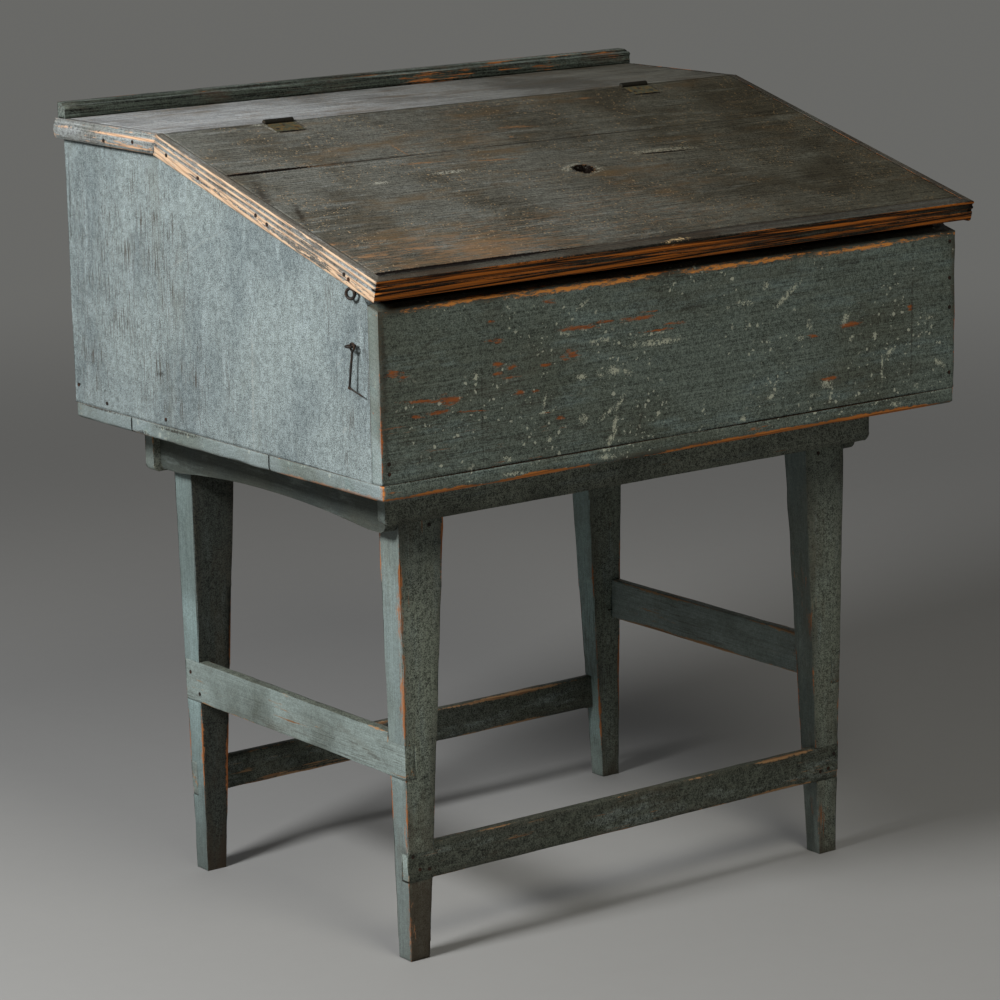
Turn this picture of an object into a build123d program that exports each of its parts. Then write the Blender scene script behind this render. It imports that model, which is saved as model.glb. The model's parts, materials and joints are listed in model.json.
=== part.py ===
import os
from math import cos, radians, sin, tan

from build123d import *

# A slant-lid desk on an open four-legged stand.
# Millimetres. X runs along the width, with the latch on the left end.
# -Y is the front. Z is up from the floor.

# Case of nailed boards
case_width = 900
case_depth = 696
case_board = 20
back_height = 348  # back board, above the bottom boards
bottom_widths = [238, 319]  # front and middle bottom boards, the last one takes the rest
bottom_crack = 0.8  # open joint between two bottom boards
front_gap = 21.2  # open space between the lid and the top of the front board's face
wear_length = 65  # how far back the sides are worn down from the front board
wear_bulge = 4.5  # height of the worn curve above its chord

# Fixed top, its end mouldings and the gallery rail
top_board = 22
top_depth = 250  # from the hinge line to the back edge
top_back_overhang = 3
end_overhang = 2  # top and lid boards past the sides of the case
moulding_reach = 12  # every moulding past the boards' ends
end_moulding_height = 26
fillet_step = 4  # square edge above the half-round
fillet_drop = 3
gallery_height = 20.5
gallery_thickness = 19
gallery_overhang = 9
gallery_setback = 5  # from the back edge of the fixed top
gallery_bead = 4
gallery_quirk = 1.5  # flat between the two beads
gallery_corner = 8

# Lid
lid_slope = 15.2  # degrees
lid_length = 486  # along the slope, hinge line to the front edge
lid_board = 22
lid_seam = 148  # width of the upper board
seam_gap = 0.5
front_moulding_width = 19
front_moulding_height = 26
side_moulding_height = 28
moulding_round = 2
moulding_foot = 3
reed_width = 5  # each of the two hollows along a lid moulding
reed_depth = 1.1
reed_tops = [3, 10]
joint_gap = 1.0  # between the lid and the fixed top
lid_rest_gap = 0.5  # between the lid and the sides below it

# Butt hinges
hinge_x = 284
leaf_width = 42
leaf_depth = 31
leaf_drop = 19
leaf_thickness = 2
knuckle_radius = 4
knuckle_gap = 0.3
knuckle_clearance = 0.5
pin_radius = 2.4
pin_clearance = 0.05
pin_rise = 0.5  # pin centre above the surface of the lid
pin_head = 0.6
let_in_clearance = 0.2

# Screws of the hinges
screw_radius = 1.6
screw_head_radius = 3.2
screw_head_depth = 1.6
screw_length = 13
screw_slot = 0.8
screw_fit = 0.05
lid_leaf_screws = [(-14, 22), (0, 12), (14, 22)]
fixed_leaf_screws = [(-14, 12), (14, 12)]

# Latch: a hook on the left side and an eye under the lid
lid_eye_front = 42  # from the front of the case
lid_eye_ring = 5.9  # ring radius at the middle of the wire
lid_eye_wire = 1.9
lid_eye_neck = 3.5
lid_eye_turn = 20  # degrees, about the vertical
hook_eye_front = 46.5
hook_eye_height = 159  # above the bottom boards
hook_eye_ring = 4.85
hook_eye_wire = 1.5
hook_eye_reach = 8  # ring centre from the side
eye_thread = 11
hook_wire = 1.4
hook_loop = 4.2
hook_shank = 48
hook_lean = (-3, 3.5)  # bottom of the shank, away from the side and back
hook_tip = (7, -20, -10)
hook_bulb = 2.1
hook_point = 0.6

# Stand
stand_height = 612
leg_top = (66, 42)
leg_foot = (29, 26)
leg_taper_start = 541
leg_inset = 95  # leg's outer face from the side of the case
leg_front = 107  # leg's front face from the front of the case
leg_back = 80  # leg's back face from the back of the case
leg_taper_out = (7.5, 8)  # how far the outer faces come in at the floor
front_strip = (16, 54)
back_strip = (20, 71)
strip_inset = 65
strip_corner = 11
rail = (19, 67)
rail_corner = 12
side_stretcher = (14.5, 55)
side_stretcher_z = 233
front_stretcher = (14, 46)
front_stretcher_z = 102
lap_shoulder = 10
lap_relief = 1  # trims what the taper would leave over a let-in stretcher

# Nails
nail_radius = 1.1
nail_fit = 0.05
nail_length = 34
lap_nail_length = 22
nail_head_radius = 2.4
nail_head_height = 0.8
front_nails_left = [13, 25]  # heights above the bottom boards
front_nails_right = [21, 106, 144, 191]
side_nails = [(10, 24), (80, 9), (223, 9)]  # from the back of the case, above the bottom boards
upper_moulding_nails = [(30, 16), (104, 18), (234, 16), (259, 18)]  # from the hinge line
lower_moulding_nails = [(63, 16), (53, 18)]  # from the front edge of the lid
end_moulding_nails = [(54, 14), (124, 18)]
leg_nail = (45, 10)  # from the leg's outer face, below the front strip
side_lap_nails = [(12, 38), (33, 12)]
front_lap_nails = [(7, 33), (17, 15), (31, 13)]

# Places worked out from the sizes above
slope_cos = cos(radians(lid_slope))
slope_sin = sin(radians(lid_slope))
slope_tan = tan(radians(lid_slope))
front_reach = lid_length * slope_cos - moulding_round * slope_sin
hinge_from_front = case_depth + top_back_overhang - top_depth
front_y = (front_reach - hinge_from_front - case_depth - top_back_overhang) / 2
back_y = front_y + case_depth
hinge_y = front_y + hinge_from_front
half_case = case_width / 2
half_board = half_case + end_overhang
floor_z = stand_height + case_board  # inside floor of the case
under_top_z = floor_z + back_height
top_z = under_top_z + top_board
lid_plane = Plane(origin=(0, hinge_y, top_z), x_dir=(1, 0, 0), z_dir=(0, -slope_sin, slope_cos))
joint_plane = Plane(origin=(0, hinge_y, top_z), x_dir=(1, 0, 0), z_dir=(0, slope_cos, slope_sin))


def lid_point(down, rise):
    # Y and Z of a point that far down the slope and above the lid's surface
    place = lid_plane.from_local_coords((0, -down, rise))
    return place.Y, place.Z


def spots(face, points):
    return [face.location * Location((x, y, 0)) for x, y in points]


def nails(face, points, length):
    with Locations(*spots(face, points)):
        Cylinder(nail_head_radius, nail_head_height, align=(Align.CENTER, Align.CENTER, Align.MIN))
        Cylinder(nail_radius, length, align=(Align.CENTER, Align.CENTER, Align.MAX))


def nail_bores(face, points, length):
    bore = nail_radius + nail_fit
    with Locations(*spots(face, points)):
        Cylinder(bore, length, align=(Align.CENTER, Align.CENTER, Align.MAX), mode=Mode.SUBTRACT)


def write(name, builder):
    builder.part.label = name
    export_step(builder.part, f"parts/{name}.step")


os.makedirs("parts", exist_ok=True)

# ---------------------------------------------------------------- stand
leg_face_y = front_y + leg_front
leg_rear_y = back_y - leg_back
leg_face_x = half_case - leg_inset
taper_x, taper_y = leg_taper_out


def leg_outer(z):
    # how far the tapering outer faces have come in at a height, along X and along Y
    share = max(0, leg_taper_start - z) / leg_taper_start
    return taper_x * share, taper_y * share


side_mid_z = side_stretcher_z + side_stretcher[1] / 2
front_mid_z = front_stretcher_z + front_stretcher[1] / 2
side_in_x, side_in_y = leg_outer(side_mid_z)
front_in_x, front_in_y = leg_outer(front_mid_z)

# Stretchers, let in flush with the outer faces of the legs
side_face_x = leg_face_x - side_in_x
side_length = leg_rear_y - leg_face_y - 2 * side_in_y
side_middle_y = (leg_rear_y + leg_face_y) / 2
with BuildPart() as stretcher_right:
    with Locations((side_face_x, side_middle_y, side_stretcher_z)):
        Box(
            side_stretcher[0],
            side_length,
            side_stretcher[1],
            align=(Align.MAX, Align.CENTER, Align.MIN),
        )
    # the lap over the front leg is cut down at the top
    with Locations((side_face_x, leg_face_y + side_in_y, side_stretcher_z + side_stretcher[1])):
        Box(
            side_stretcher[0],
            leg_foot[1] + lap_shoulder,
            lap_shoulder,
            align=(Align.MAX, Align.MIN, Align.MAX),
            mode=Mode.SUBTRACT,
        )

front_length = 2 * (leg_face_x - front_in_x)
front_face_y = leg_face_y + front_in_y
back_face_y = leg_rear_y - front_in_y
front_lap = leg_foot[0] + lap_shoulder
with BuildPart() as stretcher_front:
    with Locations((0, front_face_y, front_stretcher_z)):
        Box(
            front_length,
            front_stretcher[0],
            front_stretcher[1],
            align=(Align.CENTER, Align.MIN, Align.MIN),
        )
    # the lap over the left leg is cut down at the top
    with Locations((-front_length / 2, front_face_y, front_stretcher_z + front_stretcher[1])):
        Box(
            front_lap,
            front_stretcher[0],
            lap_shoulder,
            align=(Align.MIN, Align.MIN, Align.MAX),
            mode=Mode.SUBTRACT,
        )

with BuildPart() as stretcher_back:
    with Locations((0, back_face_y, front_stretcher_z)):
        Box(
            front_length,
            front_stretcher[0],
            front_stretcher[1],
            align=(Align.CENTER, Align.MAX, Align.MIN),
        )

with BuildPart() as stretcher_left:
    mirror(stretcher_right.part, about=Plane.YZ)

# Faces that the stand's nails are driven through, with X along the face and Y up
leg_front_face = Plane(origin=(0, leg_face_y, 0), x_dir=(1, 0, 0), z_dir=(0, -1, 0))
stretcher_face = Plane(origin=(0, front_face_y, 0), x_dir=(1, 0, 0), z_dir=(0, -1, 0))
left_lap_face = Plane(origin=(-side_face_x, 0, 0), x_dir=(0, -1, 0), z_dir=(-1, 0, 0))
right_lap_face = Plane(origin=(side_face_x, 0, 0), x_dir=(0, 1, 0), z_dir=(1, 0, 0))

leg_nail_z = stand_height - front_strip[1] - leg_nail[1]
strip_nails = [(side * (leg_face_x - leg_nail[0]), leg_nail_z) for side in (-1, 1)]
front_laps = []
for side in (-1, 1):
    for from_end, height in front_lap_nails:
        front_laps.append((side * (front_length / 2 - from_end), front_stretcher_z + height))
lap_end_y = leg_rear_y - side_in_y
left_laps = []
right_laps = []
for from_end, height in side_lap_nails:
    left_laps.append((from_end - lap_end_y, side_stretcher_z + height))
    right_laps.append((lap_end_y - from_end, side_stretcher_z + height))


def let_in(stretcher, out_x, out_y):
    for shift in ((0, 0, 0), (out_x * lap_relief, 0, 0), (0, out_y * lap_relief, 0)):
        add(stretcher.part.moved(Location(shift)), mode=Mode.SUBTRACT)


leg_centre_x = leg_face_x - leg_top[0] / 2
foot_centre_x = leg_face_x - taper_x - leg_foot[0] / 2
leg_names = []
for x_name, x_side in (("left", -1), ("right", 1)):
    for y_name, y_side, face_y in (("front", -1, leg_face_y), ("back", 1, leg_rear_y)):
        top_centre = (x_side * leg_centre_x, face_y - y_side * leg_top[1] / 2)
        foot_centre = (x_side * foot_centre_x, face_y - y_side * (taper_y + leg_foot[1] / 2))
        with BuildPart() as leg:
            with BuildSketch(Plane.XY.offset(leg_taper_start)):
                with Locations(top_centre):
                    Rectangle(*leg_top)
            extrude(amount=stand_height - leg_taper_start)
            with BuildSketch(Plane.XY):
                with Locations(foot_centre):
                    Rectangle(*leg_foot)
            with BuildSketch(Plane.XY.offset(leg_taper_start)):
                with Locations(top_centre):
                    Rectangle(*leg_top)
            loft()
            let_in(stretcher_left if x_side < 0 else stretcher_right, x_side, y_side)
            let_in(stretcher_front if y_side < 0 else stretcher_back, x_side, y_side)
            nail_bores(left_lap_face, left_laps, lap_nail_length)
            nail_bores(right_lap_face, right_laps, lap_nail_length)
            if y_side < 0:
                nail_bores(leg_front_face, strip_nails, nail_length)
                nail_bores(stretcher_face, front_laps, lap_nail_length)
        write(f"leg_{y_name}_{x_name}", leg)

with BuildPart() as stretcher_left_bored:
    add(stretcher_left.part)
    nail_bores(left_lap_face, left_laps, lap_nail_length)
with BuildPart() as stretcher_right_bored:
    add(stretcher_right.part)
    nail_bores(right_lap_face, right_laps, lap_nail_length)
with BuildPart() as stretcher_front_bored:
    add(stretcher_front.part)
    nail_bores(stretcher_face, front_laps, lap_nail_length)
write("stretcher_left", stretcher_left_bored)
write("stretcher_right", stretcher_right_bored)
write("stretcher_front", stretcher_front_bored)
write("stretcher_back", stretcher_back)

# Strips across the front and back of the legs, with rounded lower corners
strip_length = case_width - 2 * strip_inset
for name, (thickness, height), face_y, depth_align in (
    ("stand_strip_front", front_strip, leg_face_y, Align.MAX),
    ("stand_strip_back", back_strip, leg_rear_y, Align.MIN),
):
    with BuildPart() as strip:
        with Locations((0, face_y, stand_height)):
            Box(strip_length, thickness, height, align=(Align.CENTER, depth_align, Align.MAX))
        fillet(strip.edges().filter_by(Axis.Y).group_by(Axis.Z)[0], radius=strip_corner)
    write(name, strip)

# Rails along the outer faces of the legs, between the two strips
for name, side, width_align in (("left", -1, Align.MAX), ("right", 1, Align.MIN)):
    with BuildPart() as side_rail:
        with Locations((side * leg_face_x, side_middle_y, stand_height)):
            Box(rail[0], leg_rear_y - leg_face_y, rail[1], align=(width_align, Align.CENTER, Align.MAX))
        fillet(side_rail.edges().filter_by(Axis.X).group_by(Axis.Z)[0], radius=rail_corner)
    write(f"stand_rail_{name}", side_rail)

with BuildPart() as stand_nails:
    nails(leg_front_face, strip_nails, nail_length)
    nails(stretcher_face, front_laps, lap_nail_length)
    nails(left_lap_face, left_laps, lap_nail_length)
    nails(right_lap_face, right_laps, lap_nail_length)
write("stand_nails", stand_nails)

# ---------------------------------------------------------------- case
front_face = Plane(origin=(0, front_y, floor_z), x_dir=(1, 0, 0), z_dir=(0, -1, 0))
left_face = Plane(origin=(-half_case, front_y, floor_z), x_dir=(0, -1, 0), z_dir=(-1, 0, 0))
right_face = Plane(origin=(half_case, front_y, floor_z), x_dir=(0, 1, 0), z_dir=(1, 0, 0))

nail_x = half_case - case_board / 2
front_nails = [(-nail_x, z) for z in front_nails_left] + [(nail_x, z) for z in front_nails_right]
left_nails = [(from_back - case_depth, z) for from_back, z in side_nails]
right_nails = [(case_depth - from_back, z) for from_back, z in side_nails]

bottom_ends = [0, bottom_widths[0], bottom_widths[0] + bottom_widths[1], case_depth]
for index, name in enumerate(("front", "middle", "back")):
    start = bottom_ends[index] + (bottom_crack if index else 0)
    with BuildPart() as bottom_board:
        with Locations((0, front_y + start, stand_height)):
            Box(
                case_width,
                bottom_ends[index + 1] - start,
                case_board,
                align=(Align.CENTER, Align.MIN, Align.MIN),
            )
    write(f"bottom_board_{name}", bottom_board)

# Front board, its top planed to the slope of the lid
under_lid = lid_point(0, -lid_board)
front_top_z = under_lid[1] - (under_lid[0] - front_y) * slope_tan - front_gap
front_back_z = front_top_z + case_board * slope_tan
with BuildPart() as case_front:
    with BuildSketch(Plane.YZ.offset(-half_case)):
        with BuildLine():
            Polyline(
                (front_y, floor_z),
                (front_y + case_board, floor_z),
                (front_y + case_board, front_back_z),
                (front_y, front_top_z),
                close=True,
            )
        make_face()
    extrude(amount=case_width)
    nail_bores(front_face, front_nails, nail_length)
write("case_front", case_front)

with BuildPart() as case_back:
    with Locations((0, back_y, floor_z)):
        Box(
            case_width - 2 * case_board,
            case_board,
            back_height,
            align=(Align.CENTER, Align.MAX, Align.MIN),
        )
    nail_bores(left_face, left_nails, nail_length)
    nail_bores(right_face, right_nails, nail_length)
write("case_back", case_back)

# Sides: level under the fixed top, then parallel to the lid, worn down at the front
rest_rise = -lid_board - lid_rest_gap
wear_end = front_y + case_board + wear_length
slope_start = (under_top_z - lid_point(0, rest_rise)[1]) / slope_sin
slope_top = lid_point(-slope_start, rest_rise)
wear_top = (wear_end, slope_top[1] - (slope_top[0] - wear_end) * slope_tan)
wear_foot = (front_y + case_board, front_back_z)
wear_chord = Vector(wear_top[0] - wear_foot[0], wear_top[1] - wear_foot[1])
wear_middle = (
    (wear_top[0] + wear_foot[0]) / 2 - wear_bulge * wear_chord.Y / wear_chord.length,
    (wear_top[1] + wear_foot[1]) / 2 + wear_bulge * wear_chord.X / wear_chord.length,
)
for name, side, face, side_spots in (
    ("left", -1, left_face, left_nails),
    ("right", 1, right_face, right_nails),
):
    with BuildPart() as case_side:
        with BuildSketch(Plane.YZ.offset(side * half_case)):
            with BuildLine():
                Polyline(
                    wear_foot,
                    (wear_foot[0], floor_z),
                    (back_y, floor_z),
                    (back_y, under_top_z),
                    slope_top,
                    wear_top,
                )
                ThreePointArc(wear_top, wear_middle, wear_foot)
            make_face()
        extrude(amount=-side * case_board)
        nail_bores(face, side_spots, nail_length)
        nail_bores(front_face, front_nails, nail_length)
        if side < 0:
            with Locations(*spots(left_face, [(-hook_eye_front, hook_eye_height)])):
                Cylinder(
                    hook_eye_wire + nail_fit,
                    eye_thread,
                    align=(Align.CENTER, Align.CENTER, Align.MAX),
                    mode=Mode.SUBTRACT,
                )
    write(f"case_side_{name}", case_side)

with BuildPart() as case_nails:
    nails(front_face, front_nails, nail_length)
    nails(left_face, left_nails, nail_length)
    nails(right_face, right_nails, nail_length)
write("case_nails", case_nails)

# ---------------------------------------------------------------- hinges, as shared shapes
pin_y, pin_z = lid_point(0, pin_rise)
knuckle_length = (leaf_width - 2 * knuckle_gap) / 3
knuckle_step = knuckle_length + knuckle_gap
fixed_edge = Plane(
    origin=lid_plane.from_local_coords((0, joint_gap / 2, 0)),
    x_dir=(1, 0, 0),
    z_dir=(0, -slope_cos, -slope_sin),
)


def rod(radius, length, centres, mode=Mode.ADD):
    # cylinders on the hinge line, with their middles at these places along X
    with Locations(*[Location((x, pin_y, pin_z), (0, 90, 0)) for x in centres]):
        Cylinder(radius, length, mode=mode)


def leaf_box(plane, width, length, thickness, centre_x, mode=Mode.ADD):
    # a plate let in below a surface, from the hinge line outwards
    with Locations(plane.location * Location((centre_x, 0, 0))):
        Box(width, length, thickness, align=(Align.CENTER, Align.MAX, Align.MAX), mode=mode)


def leaf_screws(plane, points, centre_x, extra, mode=Mode.ADD):
    with Locations(*spots(plane, [(centre_x + x, -down) for x, down in points])):
        Cylinder(
            screw_radius + extra,
            screw_length,
            align=(Align.CENTER, Align.CENTER, Align.MAX),
            mode=mode,
        )
        with Locations((0, 0, -screw_head_depth)):
            Cone(
                screw_radius + extra,
                screw_head_radius + extra,
                screw_head_depth,
                align=(Align.CENTER, Align.CENTER, Align.MIN),
                mode=mode,
            )


def screw_slots(plane, points, centre_x):
    for number, (x, down) in enumerate(points):
        turn = 25 + 50 * number
        with Locations(plane.location * Location((centre_x + x, -down, 0), (0, 0, turn))):
            Box(
                2 * screw_head_radius,
                screw_slot,
                screw_slot,
                align=(Align.CENTER, Align.CENTER, Align.MAX),
                mode=Mode.SUBTRACT,
            )


def hinge_notches(plane, leaf_length, points):
    # what the hinges take out of a board
    for centre_x in (-hinge_x, hinge_x):
        rod(
            knuckle_radius + knuckle_clearance,
            leaf_width + 2 * (pin_head + knuckle_clearance),
            [centre_x],
            mode=Mode.SUBTRACT,
        )
        leaf_box(
            plane,
            leaf_width + 2 * let_in_clearance,
            leaf_length + let_in_clearance,
            leaf_thickness,
            centre_x,
            mode=Mode.SUBTRACT,
        )
        leaf_screws(plane, points, centre_x, screw_fit, mode=Mode.SUBTRACT)


# ---------------------------------------------------------------- fixed top
end_plane = Plane(origin=(half_board, back_y + top_back_overhang, top_z), x_dir=(1, 0, 0), z_dir=(0, -1, 0))
left_end_face = Plane(
    origin=(-half_board - moulding_reach, hinge_y, top_z), x_dir=(0, -1, 0), z_dir=(-1, 0, 0)
)
right_end_face = Plane(
    origin=(half_board + moulding_reach, hinge_y, top_z), x_dir=(0, 1, 0), z_dir=(1, 0, 0)
)
left_end_nails = [(-y, -down) for y, down in end_moulding_nails]
right_end_nails = [(y, -down) for y, down in end_moulding_nails]

with BuildPart() as fixed_top_board:
    with Locations((0, back_y + top_back_overhang, top_z)):
        Box(
            2 * half_board,
            top_depth + top_board,
            top_board,
            align=(Align.CENTER, Align.MAX, Align.MAX),
        )
    split(bisect_by=joint_plane.offset(joint_gap / 2), keep=Keep.TOP)
    hinge_notches(fixed_edge, leaf_drop, fixed_leaf_screws)
    nail_bores(left_end_face, left_end_nails, nail_length)
    nail_bores(right_end_face, right_end_nails, nail_length)
write("fixed_top_board", fixed_top_board)

# End moulding: a square fillet over a half-round
round_height = end_moulding_height - fillet_drop
with BuildPart() as end_moulding:
    with BuildSketch(end_plane):
        with BuildLine():
            Polyline(
                (moulding_reach - fillet_step, -fillet_drop),
                (moulding_reach - fillet_step, 0),
                (0, 0),
                (0, -end_moulding_height),
                (moulding_reach - fillet_step, -end_moulding_height),
            )
            ThreePointArc(
                (moulding_reach - fillet_step, -end_moulding_height),
                (moulding_reach, -fillet_drop - round_height / 2),
                (moulding_reach - fillet_step, -fillet_drop),
            )
        make_face()
    extrude(amount=top_depth + end_moulding_height)
    split(bisect_by=joint_plane.offset(joint_gap / 2), keep=Keep.TOP)
with BuildPart() as top_end_moulding_right:
    add(end_moulding.part)
    nail_bores(right_end_face, right_end_nails, nail_length)
with BuildPart() as top_end_moulding_left:
    mirror(end_moulding.part, about=Plane.YZ)
    nail_bores(left_end_face, left_end_nails, nail_length)
write("top_end_moulding_right", top_end_moulding_right)
write("top_end_moulding_left", top_end_moulding_left)

with BuildPart() as top_nails:
    nails(left_end_face, left_end_nails, nail_length)
    nails(right_end_face, right_end_nails, nail_length)
write("top_nails", top_nails)

# Gallery rail: two quarter beads along the front of its top, one end rounded off
gallery_back_y = back_y + top_back_overhang - gallery_setback
gallery_plane = Plane(
    origin=(-half_case - gallery_overhang, gallery_back_y - gallery_thickness, top_z),
    x_dir=(0, 1, 0),
    z_dir=(1, 0, 0),
)
lower_bead = (gallery_bead, gallery_height - gallery_bead)
upper_bead = (2 * gallery_bead + gallery_quirk, gallery_height)
bead_bulge = gallery_bead * (1 - cos(radians(45)))
with BuildPart() as gallery_rail:
    with BuildSketch(gallery_plane):
        with BuildLine():
            Polyline(
                upper_bead,
                (gallery_thickness, gallery_height),
                (gallery_thickness, 0),
                (0, 0),
                (0, lower_bead[1] - gallery_bead),
            )
            ThreePointArc(
                (0, lower_bead[1] - gallery_bead),
                (bead_bulge, lower_bead[1] - bead_bulge),
                lower_bead,
            )
            Line(lower_bead, (lower_bead[0] + gallery_quirk, lower_bead[1]))
            ThreePointArc(
                (lower_bead[0] + gallery_quirk, lower_bead[1]),
                (lower_bead[0] + gallery_quirk + bead_bulge, upper_bead[1] - bead_bulge),
                upper_bead,
            )
        make_face()
    extrude(amount=case_width + 2 * gallery_overhang)
    with BuildSketch(Plane.XZ.offset(-gallery_back_y)) as rounded_end:
        with Locations((half_case + gallery_overhang, top_z + gallery_height)):
            Rectangle(gallery_corner, gallery_corner, align=(Align.MAX, Align.MAX))
        with Locations((half_case + gallery_overhang - gallery_corner, top_z + gallery_height - gallery_corner)):
            Circle(gallery_corner, mode=Mode.SUBTRACT)
    extrude(amount=gallery_thickness, mode=Mode.SUBTRACT)
write("gallery_rail", gallery_rail)

# ---------------------------------------------------------------- lid
lid_back = joint_gap / 2
board_front = lid_length - front_moulding_width


def reeded_edge(reach, height):
    # closed outline of a lid moulding: two hollows along its face, rounded top and foot
    with BuildLine() as outline:
        Line((0, 0), (reach - moulding_round, 0))
        RadiusArc((reach - moulding_round, 0), (reach, -moulding_round), moulding_round)
        edge = moulding_round
        for reed_top in reed_tops:
            Line((reach, -edge), (reach, -reed_top))
            edge = reed_top + reed_width
            ThreePointArc((reach, -reed_top), (reach - reed_depth, -reed_top - reed_width / 2), (reach, -edge))
        Line((reach, -edge), (reach, moulding_foot - height))
        RadiusArc((reach, moulding_foot - height), (reach - moulding_foot, -height), moulding_foot)
        Polyline((reach - moulding_foot, -height), (0, -height), (0, 0))
    return outline.edges()


left_strip_face = Plane(
    origin=lid_plane.from_local_coords((-half_board - moulding_reach, 0, 0)),
    x_dir=(0, -slope_cos, -slope_sin),
    z_dir=(-1, 0, 0),
)
right_strip_face = Plane(
    origin=lid_plane.from_local_coords((half_board + moulding_reach, 0, 0)),
    x_dir=(0, slope_cos, slope_sin),
    z_dir=(1, 0, 0),
)
moulding_nails = list(upper_moulding_nails)
for from_front, below in lower_moulding_nails:
    moulding_nails.append((lid_length - from_front, below))
left_strip_nails = [(down, -below) for down, below in moulding_nails]
right_strip_nails = [(-down, -below) for down, below in moulding_nails]

with BuildPart(lid_plane) as lid_board_upper:
    with Locations((0, -lid_back, 0)):
        Box(
            2 * half_board,
            lid_seam - lid_back,
            lid_board,
            align=(Align.CENTER, Align.MAX, Align.MAX),
        )
with BuildPart() as lid_board_upper_cut:
    add(lid_board_upper.part)
    hinge_notches(lid_plane, leaf_depth, lid_leaf_screws)
    nail_bores(left_strip_face, left_strip_nails, nail_length)
    nail_bores(right_strip_face, right_strip_nails, nail_length)
write("lid_board_upper", lid_board_upper_cut)

with BuildPart(lid_plane) as lid_board_lower:
    with Locations((0, -lid_seam - seam_gap, 0)):
        Box(
            2 * half_board,
            board_front - lid_seam - seam_gap,
            lid_board,
            align=(Align.CENTER, Align.MAX, Align.MAX),
        )
with BuildPart() as lid_board_lower_cut:
    add(lid_board_lower.part)
    nail_bores(left_strip_face, left_strip_nails, nail_length)
    nail_bores(right_strip_face, right_strip_nails, nail_length)
write("lid_board_lower", lid_board_lower_cut)

# Mouldings round the lid, mitred at the front corners
outer_x = half_board + moulding_reach
mitre_start = moulding_reach - lid_length
strip_end = Plane(
    origin=lid_plane.from_local_coords((half_board, -lid_back, 0)),
    x_dir=(1, 0, 0),
    z_dir=(0, -slope_cos, -slope_sin),
)
with BuildPart() as side_moulding:
    with BuildSketch(strip_end):
        make_face(reeded_edge(moulding_reach, side_moulding_height))
    extrude(amount=lid_length - lid_back)
    with BuildSketch(lid_plane):
        Polygon(
            (half_board, mitre_start),
            (half_board, -lid_length),
            (outer_x, -lid_length),
            align=None,
        )
    extrude(amount=side_moulding_height, both=True, mode=Mode.SUBTRACT)

front_end = Plane(
    origin=lid_plane.from_local_coords((-outer_x, -board_front, 0)),
    x_dir=(0, -slope_cos, -slope_sin),
    z_dir=(-1, 0, 0),
)
with BuildPart() as lid_moulding_front:
    with BuildSketch(front_end):
        make_face(reeded_edge(front_moulding_width, front_moulding_height))
    extrude(amount=-2 * outer_x)
    with BuildSketch(lid_plane):
        for side in (-1, 1):
            Polygon(
                (side * half_board, 0),
                (side * half_board, mitre_start),
                (side * outer_x, -lid_length),
                (side * (outer_x + moulding_reach), 0),
                align=None,
            )
    extrude(amount=side_moulding_height, both=True, mode=Mode.SUBTRACT)
write("lid_moulding_front", lid_moulding_front)

lid_eye_x = half_board + moulding_reach / 2
strip_foot_z = lid_point(0, -side_moulding_height)[1]
lid_eye_y = front_y + lid_eye_front
lid_eye_top_z = strip_foot_z - (lid_point(0, -side_moulding_height)[0] - lid_eye_y) * slope_tan
lid_eye_z = lid_eye_top_z - lid_eye_neck - lid_eye_ring
with BuildPart() as lid_moulding_right:
    add(side_moulding.part)
    nail_bores(right_strip_face, right_strip_nails, nail_length)
with BuildPart() as lid_moulding_left:
    mirror(side_moulding.part, about=Plane.YZ)
    nail_bores(left_strip_face, left_strip_nails, nail_length)
    with Locations((-lid_eye_x, lid_eye_y, lid_eye_z + lid_eye_ring)):
        Cylinder(
            lid_eye_wire + nail_fit,
            eye_thread + lid_eye_neck,
            align=(Align.CENTER, Align.CENTER, Align.MIN),
            mode=Mode.SUBTRACT,
        )
write("lid_moulding_right", lid_moulding_right)
write("lid_moulding_left", lid_moulding_left)

with BuildPart() as lid_nails:
    nails(left_strip_face, left_strip_nails, nail_length)
    nails(right_strip_face, right_strip_nails, nail_length)
write("lid_nails", lid_nails)

# ---------------------------------------------------------------- hinges
for name, centre_x in (("left", -hinge_x), ("right", hinge_x)):
    outer_knuckles = [centre_x - knuckle_step, centre_x + knuckle_step]
    with BuildPart() as lid_leaf:
        leaf_box(lid_plane, leaf_width, leaf_depth, leaf_thickness, centre_x)
        rod(
            knuckle_radius + knuckle_clearance,
            knuckle_length + 2 * knuckle_gap,
            outer_knuckles,
            mode=Mode.SUBTRACT,
        )
        rod(knuckle_radius, knuckle_length, [centre_x])
        rod(pin_radius + pin_clearance, leaf_width, [centre_x], mode=Mode.SUBTRACT)
        leaf_screws(lid_plane, lid_leaf_screws, centre_x, screw_fit, mode=Mode.SUBTRACT)
    write(f"hinge_{name}_lid_leaf", lid_leaf)

    with BuildPart() as fixed_leaf:
        leaf_box(fixed_edge, leaf_width, leaf_drop, leaf_thickness, centre_x)
        rod(
            knuckle_radius + knuckle_clearance,
            knuckle_length + 2 * knuckle_gap,
            [centre_x],
            mode=Mode.SUBTRACT,
        )
        rod(knuckle_radius, knuckle_length, outer_knuckles)
        rod(pin_radius, leaf_width, [centre_x], mode=Mode.SUBTRACT)
        leaf_screws(fixed_edge, fixed_leaf_screws, centre_x, screw_fit, mode=Mode.SUBTRACT)
    write(f"hinge_{name}_fixed_leaf", fixed_leaf)

    with BuildPart() as hinge_pin:
        rod(pin_radius, leaf_width, [centre_x])
        head_x = (leaf_width + pin_head) / 2
        rod(knuckle_radius - pin_head, pin_head, [centre_x - head_x, centre_x + head_x])
    write(f"hinge_{name}_pin", hinge_pin)

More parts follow.
